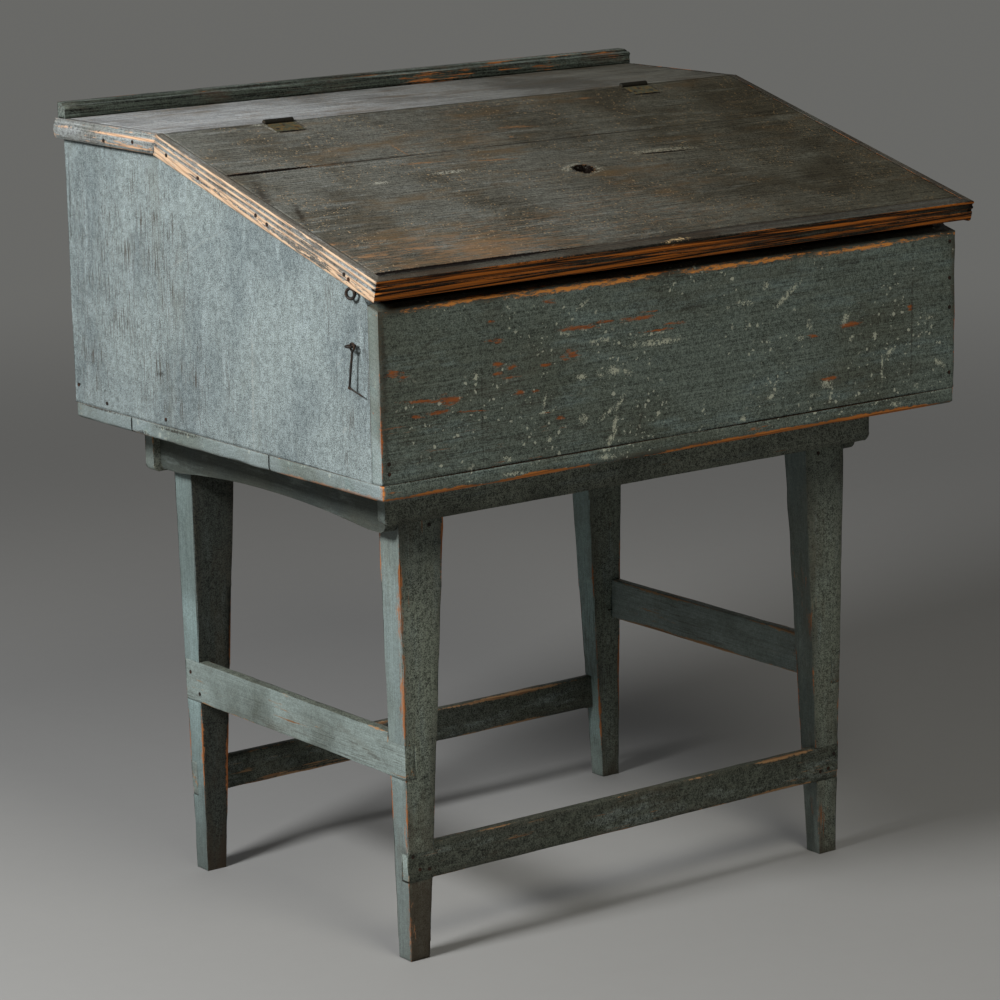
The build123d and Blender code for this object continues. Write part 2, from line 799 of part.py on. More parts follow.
with BuildPart() as hinge_lid_screws:
    for centre_x in (-hinge_x, hinge_x):
        leaf_screws(lid_plane, lid_leaf_screws, centre_x, 0)
        screw_slots(lid_plane, lid_leaf_screws, centre_x)
write("hinge_lid_screws", hinge_lid_screws)

with BuildPart() as hinge_fixed_screws:
    for centre_x in (-hinge_x, hinge_x):
        leaf_screws(fixed_edge, fixed_leaf_screws, centre_x, 0)
        screw_slots(fixed_edge, fixed_leaf_screws, centre_x)
write("hinge_fixed_screws", hinge_fixed_screws)

# ---------------------------------------------------------------- latch
with BuildPart() as lid_screw_eye:
    ring_place = Location((-lid_eye_x, lid_eye_y, lid_eye_z), (0, 0, lid_eye_turn))
    with Locations(ring_place * Location((0, 0, 0), (0, 90, 0))):
        Torus(lid_eye_ring, lid_eye_wire)
    with Locations((-lid_eye_x, lid_eye_y, lid_eye_z + lid_eye_ring)):
        Cylinder(
            lid_eye_wire,
            eye_thread + lid_eye_neck,
            align=(Align.CENTER, Align.CENTER, Align.MIN),
        )
write("lid_screw_eye", lid_screw_eye)

eye_x = -half_case - hook_eye_reach
eye_y = front_y + hook_eye_front
eye_z = floor_z + hook_eye_height
with BuildPart() as hook_screw_eye:
    with Locations((eye_x, eye_y, eye_z)):
        Torus(hook_eye_ring, hook_eye_wire)
    with Locations(Location((eye_x + hook_eye_ring, eye_y, eye_z), (0, 90, 0))):
        Cylinder(
            hook_eye_wire,
            hook_eye_reach - hook_eye_ring + eye_thread,
            align=(Align.CENTER, Align.CENTER, Align.MIN),
        )
write("hook_screw_eye", hook_screw_eye)

# Hook: a loop round the front of the ring, a shank, a bulb at the bend and a tapered point
loop_centre = Vector(eye_x, eye_y - hook_eye_ring, eye_z)
shank_top = loop_centre + Vector(0, 0, -hook_loop)
bend = loop_centre + Vector(hook_lean[0], hook_lean[1], -hook_shank)
shank_plane = Plane(origin=shank_top, z_dir=bend - shank_top)
point_plane = Plane(origin=bend, z_dir=Vector(*hook_tip))
with BuildPart() as latch_hook:
    with Locations(Location(loop_centre, (0, 90, 0))):
        Torus(hook_loop, hook_wire)
    with Locations(shank_plane.location):
        Cylinder(
            hook_wire,
            (bend - shank_top).length,
            align=(Align.CENTER, Align.CENTER, Align.MIN),
        )
    with Locations(bend):
        Sphere(hook_bulb)
    with Locations(point_plane.location):
        Cone(
            hook_wire,
            hook_point,
            Vector(*hook_tip).length,
            align=(Align.CENTER, Align.CENTER, Align.MIN),
        )
write("latch_hook", latch_hook)
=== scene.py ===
import json
import math
import bmesh
import bpy
from mathutils import Matrix, Vector, noise
from mathutils.bvhtree import BVHTree
from mathutils.kdtree import KDTree

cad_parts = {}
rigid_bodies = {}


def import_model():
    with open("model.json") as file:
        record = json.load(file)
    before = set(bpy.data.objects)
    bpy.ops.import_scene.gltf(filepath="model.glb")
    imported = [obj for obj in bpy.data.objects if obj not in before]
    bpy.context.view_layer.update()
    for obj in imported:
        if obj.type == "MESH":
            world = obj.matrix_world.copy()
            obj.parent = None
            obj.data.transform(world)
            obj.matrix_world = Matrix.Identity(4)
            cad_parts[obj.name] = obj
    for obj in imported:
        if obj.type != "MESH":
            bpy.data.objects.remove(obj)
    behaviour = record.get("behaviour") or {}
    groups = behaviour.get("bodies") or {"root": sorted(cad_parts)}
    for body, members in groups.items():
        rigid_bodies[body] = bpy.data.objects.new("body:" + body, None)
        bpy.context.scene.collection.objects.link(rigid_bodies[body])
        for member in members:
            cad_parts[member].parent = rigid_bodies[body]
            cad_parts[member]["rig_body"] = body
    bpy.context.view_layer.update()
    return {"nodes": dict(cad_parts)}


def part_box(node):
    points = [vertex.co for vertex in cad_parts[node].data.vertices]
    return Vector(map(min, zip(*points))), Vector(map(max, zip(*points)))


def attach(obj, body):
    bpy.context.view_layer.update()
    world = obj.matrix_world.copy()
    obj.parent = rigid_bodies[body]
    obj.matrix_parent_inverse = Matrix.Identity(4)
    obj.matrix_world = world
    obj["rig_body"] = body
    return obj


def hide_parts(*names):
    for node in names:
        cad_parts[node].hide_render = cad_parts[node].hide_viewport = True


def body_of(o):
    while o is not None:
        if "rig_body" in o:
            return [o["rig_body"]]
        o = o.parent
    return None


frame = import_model()
nodes = frame["nodes"]
print("desk loaded:", len(nodes), "nodes")


# short ways to place shader nodes and join them up
def put(tree, kind, feeds=None, **options):
    node = tree.nodes.new("ShaderNode" + kind)
    for name, value in options.items():
        setattr(node, name, value)
    feed(tree, node, feeds or {})
    return node


def feed(tree, node, feeds):
    for name, value in feeds.items():
        if isinstance(value, bpy.types.NodeSocket):
            tree.links.new(value, node.inputs[name])
        else:
            node.inputs[name].default_value = value


def maths(tree, operation, first, second=0.0, clamp=False):
    node = put(tree, "Math", {0: first, 1: second}, operation=operation)
    node.use_clamp = clamp
    return node.outputs[0]


def times(tree, first, second):
    return maths(tree, "MULTIPLY", first, second)


def plus(tree, first, second):
    return maths(tree, "ADD", first, second)


def minus(tree, first, second):
    return maths(tree, "SUBTRACT", first, second)


def larger(tree, first, second):
    return maths(tree, "MAXIMUM", first, second)


def vectors(tree, operation, first, second=(0, 0, 0)):
    return put(tree, "VectorMath", {0: first, 1: second}, operation=operation).outputs


def stretched(tree, vector, factors):
    return vectors(tree, "MULTIPLY", vector, factors)[0]


def scaled(tree, vector, factor):
    return put(tree, "VectorMath", {0: vector, 3: factor}, operation="SCALE").outputs[0]


def part(tree, vector, axis):
    return put(tree, "SeparateXYZ", {0: vector}).outputs[axis]


def spread(tree, value, low, high, outLow=0.0, outHigh=1.0):
    feeds = {"Value": value, "From Min": low, "From Max": high, "To Min": outLow, "To Max": outHigh}
    return put(tree, "MapRange", feeds, interpolation_type="SMOOTHSTEP").outputs[0]


def grit(tree, vector, scale, detail=3.0, rough=0.55, twist=0.0):
    feeds = {"Vector": vector, "Scale": scale, "Detail": detail, "Roughness": rough, "Distortion": twist}
    return put(tree, "TexNoise", feeds).outputs[0]


def longGrit(tree, vector, factors, detail=3.0, rough=0.55):  # drawn out along the grain
    return grit(tree, stretched(tree, vector, factors), 1.0, detail, rough)


def mixed(tree, amount, first, second, way="MIX"):
    node = put(tree, "Mix", data_type="RGBA", blend_type=way)
    feed(tree, node, {0: amount, 6: first, 7: second})
    return node.outputs[2]


def newGroup(name, takes, gives):  # an input is a number, a vector of three or a color of four
    tree = bpy.data.node_groups.new(name, "ShaderNodeTree")
    kinds = {"value": "NodeSocketFloat", "vector": "NodeSocketVector", "color": "NodeSocketColor"}
    for label, start in takes.items():
        kind = "value" if isinstance(start, float) else "vector" if len(start) == 3 else "color"
        tree.interface.new_socket(label, in_out="INPUT", socket_type=kinds[kind]).default_value = start
    for label, kind in gives.items():
        tree.interface.new_socket(label, in_out="OUTPUT", socket_type=kinds[kind])
    return tree, tree.nodes.new("NodeGroupInput").outputs, tree.nodes.new("NodeGroupOutput")


def use(tree, group, feeds):
    node = tree.nodes.new("ShaderNodeGroup")
    node.node_tree = group
    feed(tree, node, feeds)
    return node.outputs


# effects that several finishes share
def makePlankGrain():  # pine figure with the grain along X
    tree, given, result = newGroup(
        "plank grain",
        {"Vector": (0, 0, 0), "Ring Width": 0.005, "Waver": 1.0},
        {"Figure": "value", "Fibre": "value", "Lines": "value", "Checks": "value"})
    vector, waver = given["Vector"], given["Waver"]
    ringFactor = 0.314  # the wave texture's own ring width at scale 1
    heart = {"Location": (0, 0.013, 0.055), "Rotation": (0, 0.022, 0.03)}  # where the tree's heart lies
    tilted = put(tree, "Mapping", {"Vector": vector, **heart})
    wander = times(tree, longGrit(tree, vector, (2.6, 9, 9)), waver)
    pushed = vectors(tree, "ADD", tilted.outputs[0], stretched(tree, wander, (0.0, 0.012, 0.02)))[0]
    rings = put(tree, "TexWave", {"Vector": pushed, "Scale": maths(tree, "DIVIDE", ringFactor, given["Ring Width"]),
                                  "Distortion": times(tree, waver, 0.5), "Detail": 2.0, "Detail Scale": 0.4,
                                  "Detail Roughness": 0.6},
                wave_type="RINGS", rings_direction="X", wave_profile="SAW").outputs[1]
    fibre = longGrit(tree, vector, (9, 620, 620), 3.0, 0.6)
    lines = spread(tree, longGrit(tree, vector, (22, 560, 560), 3.0, 0.6), 0.555, 0.62)
    clusters = spread(tree, longGrit(tree, vector, (3, 13, 13), 2.0), 0.46, 0.62)
    feed(tree, result, {"Figure": rings, "Fibre": fibre, "Lines": lines, "Checks": times(tree, lines, clusters)})
    return tree


def makeMilkPaint():  # brushed, faded paint that lets the board's figure through
    tree, given, result = newGroup(
        "milk paint",
        {"Vector": (0, 0, 0), "Grain": (0, 0, 0), "Paint": (0.2, 0.22, 0.2, 1), "Shade": (0.1, 0.1, 0.1, 1),
         "Chalk": (0.4, 0.4, 0.4, 1), "Mottle": 0.6, "Brush": 0.5, "Speckle": 0.5, "Fineness": 1.0,
         "Figure": 0.5, "Fibre": 0.5},
        {"Color": "color", "Height": "value"})
    clouds = spread(tree, grit(tree, given["Vector"], 7.0, 5.0, 0.55, 0.3), 0.36, 0.66)
    rubs = spread(tree, longGrit(tree, given["Grain"], (8, 40, 40), 6.0, 0.72), 0.5, 0.7)
    fine = scaled(tree, given["Vector"], given["Fineness"])
    crumbs = grit(tree, fine, 170.0, 5.0, 0.75)
    color = mixed(tree, times(tree, clouds, given["Mottle"]), given["Paint"], given["Shade"])
    color = mixed(tree, times(tree, rubs, given["Mottle"]), color, given["Chalk"])
    lines = spread(tree, plus(tree, given["Fibre"], times(tree, given["Figure"], 0.1)), 0.38, 0.72, -0.5, 0.5)
    dust = grit(tree, fine, 620.0, 3.0, 0.75)
    dots = spread(tree, plus(tree, times(tree, crumbs, 0.35), times(tree, dust, 0.65)), 0.4, 0.6, -0.5, 0.5)
    tone = plus(tree, times(tree, lines, given["Brush"]), times(tree, dots, given["Speckle"]))
    color = mixed(tree, 1.0, color, plus(tree, 1.0, tone), "MULTIPLY")
    height = plus(tree, times(tree, tone, 0.6), times(tree, clouds, 0.3))
    feed(tree, result, {"Color": color, "Height": plus(tree, height, 0.3)})
    return tree


def makeBarePine():  # old bare wood where the paint has gone
    tree, given, result = newGroup(
        "bare pine",
        {"Figure": 0.5, "Fibre": 0.5, "Light": (0.6, 0.3, 0.1, 1), "Dark": (0.1, 0.04, 0.02, 1), "Bite": 0.6},
        {"Color": "color"})
    lateWood = times(tree, spread(tree, given["Figure"], 0.55, 0.95), given["Bite"])
    color = mixed(tree, lateWood, given["Light"], given["Dark"])
    threads = times(tree, spread(tree, given["Fibre"], 0.52, 0.72), times(tree, given["Bite"], 0.7))
    feed(tree, result, {"Color": mixed(tree, threads, color, given["Dark"])})
    return tree


def makeArrisWear():  # paint rubbed off along the open edges, which wornBoard marks with "edge"
    tree, given, result = newGroup(
        "arris wear",
        {"Vector": (0, 0, 0), "Grain": (0, 0, 0), "Fibre": 0.5, "Amount": 0.5},
        {"Wear": "value", "Edge": "value"})
    edge = put(tree, "Attribute", attribute_name="edge").outputs["Fac"]
    patches = longGrit(tree, given["Grain"], (9, 16, 16), 5.0, 0.62)
    crumbs = grit(tree, given["Vector"], 170.0, 3.0, 0.7)
    rough = plus(tree, times(tree, patches, 1.2), times(tree, crumbs, 0.4))
    rough = plus(tree, rough, times(tree, given["Fibre"], 0.3))
    lengths = times(tree, longGrit(tree, given["Grain"], (3.5, 5, 5), 2.0), 1.5)  # some lengths are hardly worn
    level = plus(tree, plus(tree, rough, given["Amount"]), plus(tree, times(tree, edge, 0.75), lengths))
    wear = times(tree, spread(tree, level, 2.77, 2.9), spread(tree, edge, 0.05, 0.3))
    feed(tree, result, {"Wear": wear, "Edge": edge})
    return tree


def makeScuffs():  # patches worn through in streaks along the grain
    tree, given, result = newGroup(
        "scuffs",
        {"Grain": (0, 0, 0), "Fibre": 0.5, "Cover": 0.1, "Size": 1.0, "Soft": 0.045},
        {"Mask": "value"})
    broad = longGrit(tree, scaled(tree, given["Grain"], given["Size"]), (10, 75, 75), 5.0, 0.66)
    where = longGrit(tree, given["Grain"], (2.5, 7, 7), 2.0)
    level = plus(tree, times(tree, broad, 0.6), times(tree, where, 0.4))
    level = plus(tree, level, times(tree, given["Fibre"], 0.3))
    low = minus(tree, 0.8, times(tree, given["Cover"], 0.3))
    feed(tree, result, {"Mask": spread(tree, level, low, plus(tree, low, given["Soft"]))})
    return tree


def makeSpatter():  # flecks of pale paint, in crowds
    tree, given, result = newGroup("spatter", {"Vector": (0, 0, 0), "Scale": 60.0, "Cover": 0.2}, {"Mask": "value"})
    shift = put(tree, "TexNoise", {"Vector": given["Vector"], "Scale": 210.0, "Detail": 2.0}).outputs[1]
    shaky = vectors(tree, "ADD", given["Vector"], stretched(tree, shift, (0.007, 0.007, 0.007)))[0]
    cells = put(tree, "TexVoronoi", {"Vector": shaky, "Scale": given["Scale"], "Randomness": 1.0})
    lot = put(tree, "SeparateColor", {0: cells.outputs["Color"]})
    chosen = maths(tree, "LESS_THAN", lot.outputs[0], given["Cover"])
    size = times(tree, maths(tree, "POWER", lot.outputs[1], 4.0), 0.5)
    spot = spread(tree, minus(tree, cells.outputs["Distance"], size), 0.09, 0.02)
    crowd = spread(tree, grit(tree, given["Vector"], 13.0, 3.0, 0.6), 0.46, 0.54)
    feed(tree, result, {"Mask": times(tree, times(tree, spot, chosen), crowd)})
    return tree


def makeRaggedSpot():  # one placed mark, radius 1 in its own space, its edge broken by a shared noise
    tree, given, result = newGroup(
        "ragged spot",
        {"Spot": (0, 0, 0), "Vector": (0, 0, 0), "Break": 0.5, "Ragged": 1.6, "Core": 0.7, "So Far": 0.0},
        {"Mask": "value", "Vector": "vector"})
    distance = vectors(tree, "LENGTH", given["Spot"])[1]
    shake = times(tree, minus(tree, given["Break"], 0.5), given["Ragged"])
    spot = spread(tree, plus(tree, distance, times(tree, shake, 2.0)), 1.0, given["Core"])
    mask = larger(tree, spot, given["So Far"])
    # the vector is handed on through the mask, so that a long list is worked out one mark at a time
    onward = put(tree, "VectorMath", {0: mask, 1: (0, 0, 0), 2: given["Vector"]}, operation="MULTIPLY_ADD")
    feed(tree, result, {"Mask": mask, "Vector": onward.outputs[0]})
    return tree


plankGrain = makePlankGrain()
milkPaint = makeMilkPaint()
barePine = makeBarePine()
arrisWear = makeArrisWear()
scuffs = makeScuffs()
spatter = makeSpatter()
raggedSpot = makeRaggedSpot()
print("shared effects made")


# the desk's own measures, in metres
deskLines = {
    "lidTilt": math.radians(15.2),
    "lidTop": (0.0, 0.109237, 1.002),  # upper edge of the lid's top face
    "frontFace": -0.33976,
    "leftFace": -0.45,
    "legFront": -0.2315,
    "hingePin": (0.0, 0.1091, 1.0025),
}

grainTurn = {"x": (0, 0, 0), "y": (0, 0, -math.pi / 2), "z": (0, math.pi / 2, 0)}

oldPaint = {
    "grain": "x",
    "tilted": False,
    "offset": (0, 0, 0),
    "paint": (0.16, 0.19, 0.165),
    "shade": (0.1, 0.112, 0.092),
    "chalk": (0.2, 0.235, 0.215),
    "mottle": 0.8,
    "brush": 0.35,
    "speckle": 0.5,
    "fineness": 1.0,
    "stain": 0.0,
    "stainColor": (0.1, 0.075, 0.045),
    "streaks": 0.5,
    "streakColor": (0.05, 0.04, 0.028),
    "woodLight": (0.36, 0.13, 0.035),
    "woodDark": (0.1, 0.04, 0.018),
    "woodBite": 0.6,
    "ringWidth": 0.006,
    "waver": 1.0,
    "longer": 1.0,  # draws the figure out along the board
    "wear": 0.3,
    "scuff": 0.1,
    "scuffSize": 1.0,
    "scuffSoft": 0.045,
    "scuffShow": 1.0,
    "scuffLean": None,  # more of it to one side
    "grime": 0.0,
    "spatter": 0.0,
    "spatterScale": 55.0,
    "fleckColor": (0.5, 0.52, 0.42),
    "paleColor": (0.5, 0.52, 0.42),
    "litBareArrisColor": (0.85, 0.34, 0.08),
    "darkness": 0.7,
    "roughness": 0.6,
    "specular": 0.18,
    "relief": 0.5,
    "footDirt": 0.0,
    "dirtLine": 0.08,
    "marks": {},
    "markPlane": "front",
    "hollows": [],
    "rightToneAndShade": None,
    "topPaint": None,
    "topWorn": 0.04,
    "sideLightShadePaint": None,
    "plainEnds": False,
    "bareSide": None,
}

agedColors = {  # the same on every board
    "grime": (0.055, 0.036, 0.02, 1),
    "dark": (0.025, 0.02, 0.015, 1),
    # hole: near-black for dark gaps, and painted shade inside the knot hole, the carved slot and the notches above
    # the hinge leaves
    "hole": (0.006, 0.004, 0.003, 1),
    "insideLight": (0.235, 0.135, 0.07, 1),
    "insideDark": (0.105, 0.056, 0.028, 1),
    "handled": (0.085, 0.056, 0.035, 1),
    "ink": (0.03, 0.022, 0.018, 1),
    "footDirt": (0.054, 0.036, 0.022, 1),
}

# lists of marks hold (across, up, half length, half width, turn), in mm and degrees,
# and a plane turns such a row into place, size and rotation
markPlanes = {
    "front": lambda across, up, long, wide, turn: (
        (across, deskLines["frontFace"], up), (long, 0.02, wide), (0, -turn, 0)),
    "left": lambda across, up, long, wide, turn: (
        (deskLines["leftFace"], across, up), (0.02, long, wide), (turn, 0, 0)),
    "leg": lambda across, up, long, wide, turn: (
        (across, deskLines["legFront"], up), (long, 0.009, wide), (0, -turn, 0)),
    "lid": lambda across, up, long, wide, turn: (
        (across, up, 0), (long, wide, 0.04), (0, 0, turn)),
}
markEdges = {  # how ragged each kind is, how solid, and how its noise is drawn out
    "bare": (2.6, 0.25, (75, 340, 340)),
    "litBareArris": (2.6, 0.25, (75, 340, 340)),
    "dark": (2.6, 0.25, (75, 340, 340)),
    "hole": (1.0, 0.8, (430, 430, 430)),
    "pale": (2.8, 0.85, (430, 430, 430)),
    "streaked": (2.8, 0.85, (430, 430, 430)),
}


def placedMarks(tree, board, grain, look, kind):
    if kind not in look["marks"]:
        return None
    ragged, core, factors = markEdges[kind]
    broken = longGrit(tree, grain, factors, 5.0, 0.75)
    soFar = {"Mask": 0.0, "Vector": board}
    layOut = markPlanes[look["markPlane"]]
    for *measures, turn in look["marks"][kind]:
        place, size, lean = layOut(*[measure / 1000 for measure in measures], math.radians(turn))
        spot = put(tree, "Mapping", {"Vector": soFar["Vector"], "Location": place, "Scale": size, "Rotation": lean},
                   vector_type="TEXTURE").outputs[0]
        soFar = use(tree, raggedSpot, {"Spot": spot, "Vector": soFar["Vector"], "Break": broken, "Ragged": ragged,
                                       "Core": core, "So Far": soFar["Mask"]})
    if kind == "pale":  # old smears are broken into crumbs
        crumbs = longGrit(tree, board, (240, 240, 240), 4.0, 0.75)
        return times(tree, soFar["Mask"], spread(tree, crumbs, 0.47, 0.51))
    return soFar["Mask"]


def insideWood(tree, board, grain, plank, figure):  # never painted, browned and inky
    tones = {"Light": agedColors["insideLight"], "Dark": agedColors["insideDark"], "Bite": 0.5}
    aged = use(tree, barePine, figure | tones)["Color"]
    handled = spread(tree, longGrit(tree, grain, (4, 14, 14), 6.0, 0.68), 0.42, 0.66, 0.0, 0.7)
    aged = mixed(tree, handled, aged, agedColors["handled"])
    ink = use(tree, spatter, {"Vector": board, "Scale": 70.0, "Cover": 0.22})["Mask"]
    return mixed(tree, times(tree, larger(tree, ink, plank["Checks"]), 0.7), aged, agedColors["ink"])


def oldWood(name, look):
    material = bpy.data.materials.new(name)
    material.use_nodes = True
    tree = material.node_tree
    surface = tree.nodes["Principled BSDF"]
    place = put(tree, "TexCoord").outputs
    board, up = place["Object"], (0, 0, 1)
    if look["tilted"]:  # lid boards are read square to their own face
        tilt = deskLines["lidTilt"]
        up = (0, -math.sin(tilt), math.cos(tilt))
        board = put(tree, "Mapping", {"Vector": board, "Location": deskLines["lidTop"], "Rotation": (tilt, 0, 0)},
                    vector_type="TEXTURE").outputs[0]
    drawnOut = [1 / look["longer"] if axis == look["grain"] else 1 for axis in "xyz"]
    grain = put(tree, "Mapping", {"Vector": board, "Location": look["offset"], "Rotation": grainTurn[look["grain"]],
                                  "Scale": drawnOut}).outputs[0]
    plank = use(tree, plankGrain, {"Vector": grain, "Ring Width": look["ringWidth"], "Waver": look["waver"]})
    figure = {"Figure": plank["Figure"], "Fibre": plank["Fibre"]}

    def marked(kind):
        return placedMarks(tree, board, grain, look, kind)

    paint = look["paint"] + (1,)
    if look["topPaint"]:
        upward = spread(tree, vectors(tree, "DOT_PRODUCT", place["Normal"], up)[1], 0.6, 0.8)
        paint = mixed(tree, upward, paint, look["topPaint"] + (1,))
    lessAtEnds = None
    if look["sideLightShadePaint"]:  # faces turned to the sides have their own paint, lighter or darker than the front faces' for how the lamps light them (painted light and shade), and are less marked
        sideways = spread(tree, maths(tree, "ABSOLUTE", part(tree, place["Normal"], 0)), 0.6, 0.8)
        paint = mixed(tree, sideways, paint, look["sideLightShadePaint"] + (1,))
        lessAtEnds = minus(tree, 1.0, times(tree, sideways, 0.7))

    def lessAside(amount):
        return times(tree, amount, lessAtEnds) if lessAtEnds else amount

    coat = use(tree, milkPaint, dict(figure, Vector=board, Grain=grain, Paint=paint, Shade=look["shade"] + (1,),
                                     Chalk=look["chalk"] + (1,), Mottle=look["mottle"], Brush=look["brush"],
                                     Speckle=lessAside(look["speckle"]), Fineness=look["fineness"]))
    wood = use(tree, barePine, dict(figure, Light=look["woodLight"] + (1,), Dark=look["woodDark"] + (1,),
                                    Bite=look["woodBite"]))["Color"]
    color = coat["Color"]
    if look["stain"]:
        cloud = spread(tree, longGrit(tree, grain, (5, 17, 17), 5.0, 0.7), 0.5, 0.72)
        color = mixed(tree, times(tree, cloud, look["stain"]), color, look["stainColor"] + (1,))
    streaks = times(tree, plank["Checks"], look["streaks"])
    crowded = marked("streaked")
    if crowded:
        streaks = larger(tree, streaks, times(tree, crowded, plank["Lines"]))
    color = mixed(tree, streaks, color, look["streakColor"] + (1,))
    if look["spatter"]:
        flecks = use(tree, spatter, {"Vector": board, "Scale": look["spatterScale"], "Cover": look["spatter"]})
        color = mixed(tree, times(tree, lessAside(flecks["Mask"]), 0.85), color, look["fleckColor"] + (1,))
    pale = marked("pale")
    if pale:
        color = mixed(tree, times(tree, pale, 0.85), color, look["paleColor"] + (1,))
    arris = use(tree, arrisWear, {"Vector": board, "Grain": grain, "Fibre": plank["Fibre"], "Amount": look["wear"]})
    gone = lessAside(arris["Wear"]) if look["plainEnds"] else arris["Wear"]
    if look["grime"]:  # handling has browned the paint beside the edges
        brown = spread(tree, plus(tree, times(tree, arris["Edge"], 0.5), coat["Height"]), 0.62, 1.1)
        brown = lessAside(times(tree, brown, spread(tree, arris["Edge"], 0.0, 0.25)))
        color = mixed(tree, times(tree, brown, look["grime"]), color, agedColors["grime"])
    if look["scuff"]:
        cover = look["scuff"]
        if look["scuffLean"]:
            alongX, alongY = [times(tree, part(tree, board, axis), look["scuffLean"][axis]) for axis in (0, 1)]
            cover = plus(tree, plus(tree, alongX, alongY), cover)
        rubbed = use(tree, scuffs, {"Grain": grain, "Fibre": plank["Fibre"], "Cover": cover,
                                    "Size": look["scuffSize"], "Soft": look["scuffSoft"]})["Mask"]
        gone = larger(tree, gone, times(tree, rubbed, look["scuffShow"]))
    for centre, half in look["hollows"]:  # paint stays in the hollows of the reeding
        off = maths(tree, "ABSOLUTE", minus(tree, part(tree, board, 2), centre))
        off = plus(tree, off, times(tree, plank["Fibre"], 0.002))
        gone = times(tree, gone, spread(tree, off, half, half + 0.0016))
    if look["topPaint"]:
        gone = times(tree, gone, spread(tree, upward, 0.0, 1.0, 1.0, look["topWorn"]))
    worn = gone
    bare = marked("bare")
    if bare:
        gone = larger(tree, gone, times(tree, bare, 0.85))
    color = mixed(tree, gone, color, wood)
    # the front board's worn top arris: bare wood, painted brighter as a painted highlight of the light it catches
    # under the lid
    litBareArris = marked("litBareArris")
    if litBareArris:
        color = mixed(tree, litBareArris, color, look["litBareArrisColor"] + (1,))
    if look["rightToneAndShade"]:  # darker towards the right end: partly the boards' own darker tone, partly painted shade where the lamp's light falls off
        rightToneAndShadeTint = mixed(tree, spread(tree, part(tree, board, 0), -0.45, 0.45), (1, 1, 1, 1), look["rightToneAndShade"] + (1,))
        color = mixed(tree, 1.0, color, rightToneAndShadeTint, "MULTIPLY")
    dark = marked("dark")
    if dark:
        color = mixed(tree, times(tree, dark, look["darkness"]), color, agedColors["dark"])
    hole = marked("hole")
    if hole:
        color = mixed(tree, hole, color, agedColors["hole"])
    if look["bareSide"]:
        facing = vectors(tree, "DOT_PRODUCT", place["Normal"], look["bareSide"])[1]
        aged = insideWood(tree, board, grain, plank, figure)
        color = mixed(tree, spread(tree, facing, 0.6, 0.8), color, aged)
    if look["footDirt"]:
        rise = plus(tree, part(tree, board, 2), times(tree, longGrit(tree, grain, (14, 50, 50), 5.0, 0.75), 0.34))
        low = lessAside(spread(tree, rise, look["dirtLine"] + 0.25, look["dirtLine"] + 0.1))
        if bare:
            low = times(tree, low, minus(tree, 1.0, times(tree, bare, 0.9)))
        color = mixed(tree, times(tree, low, look["footDirt"]), color, agedColors["footDirt"])
    height = minus(tree, times(tree, coat["Height"], 0.6), times(tree, worn, 0.45))
    height = minus(tree, height, times(tree, plank["Checks"], 0.6))
    height = minus(tree, height, times(tree, plank["Figure"], 0.15))
    bump = put(tree, "Bump", {"Height": height, "Distance": 0.0008, "Strength": look["relief"]})
    roughness = minus(tree, look["roughness"], times(tree, gone, 0.06))
    roughness = maths(tree, "ADD", roughness, times(tree, minus(tree, coat["Height"], 0.45), 0.25), clamp=True)
    if hole:
        roughness = larger(tree, roughness, hole)
    feed(tree, surface, {"Base Color": color, "Roughness": roughness, "Normal": bump.outputs[0]})
    surface.inputs["Specular IOR Level"].default_value = look["specular"]
    return material


# worn boards are copies of the plain boards with eased, uneven arrises
trees = {}
for name, node in nodes.items():
    shape = bmesh.new()
    shape.from_mesh(node.data)
    trees[name] = (BVHTree.FromBMesh(shape), *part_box(name))
    shape.free()

boardWork = {
    "weld": 0.00002,
    "touching": 0.0014,  # an edge this near another piece is inside a joint and stays crisp
    "shortest": 0.0018,
    "flat": math.radians(0.6),
    "sharp": math.radians(50),
    "cutOver": 0.06,  # only sides longer than this are cut across
    "archEnd": 0.84,  # a hollowed edge meets the straight at this share of its length
    "archHeight": 0.03,  # and doesn't reach higher than this
    "slowWear": 23.0,  # wear along an arris comes and goes at two scales
    "quickWear": 71.0,
    "deepest": 1.4,  # times the wander
}


def besideAnother(point, own):
    near = boardWork["touching"]
    for name, (surface, low, high) in trees.items():
        if name == own or any(point[i] < low[i] - near or point[i] > high[i] + near for i in range(3)):
            continue
        if surface.find_nearest(point, near)[0] is not None:
            return True
    return False


def cutAcross(shape, at, normal):
    everything = shape.verts[:] + shape.edges[:] + shape.faces[:]
    bmesh.ops.bisect_plane(shape, geom=everything, dist=boardWork["weld"], plane_co=at, plane_no=normal)


knotHole = {  # left in the lid's upper face by a lost knot
    "centre": (0.013, -0.1291, 0.9372),
    "long": 0.014,
    "wide": 0.0115,
    "depth": 0.012,
    "steep": 5,
    "around": 0.03,  # faces this near are divided finely
    "cuts": 13,
    "ragged": 0.35,
    "fineness": 190.0,
}


def sinkHole(shape, hole):
    centre = Vector(hole["centre"])
    edges = {edge for face in shape.faces for edge in face.edges
             if face.normal.z > 0.8 and (face.calc_center_median() - centre).length < hole["around"]}
    bmesh.ops.subdivide_edges(shape, edges=list(edges), cuts=hole["cuts"], use_grid_fill=True)
    for vert in shape.verts:
        away = vert.co - centre
        reach = math.hypot(away.x / hole["long"], away.y / hole["wide"])
        reach += hole["ragged"] * noise.noise(vert.co * hole["fineness"])
        if reach < 1 and abs(away.z) < hole["depth"]:
            vert.co.z -= hole["depth"] * (1 - max(reach, 0.0) ** hole["steep"])


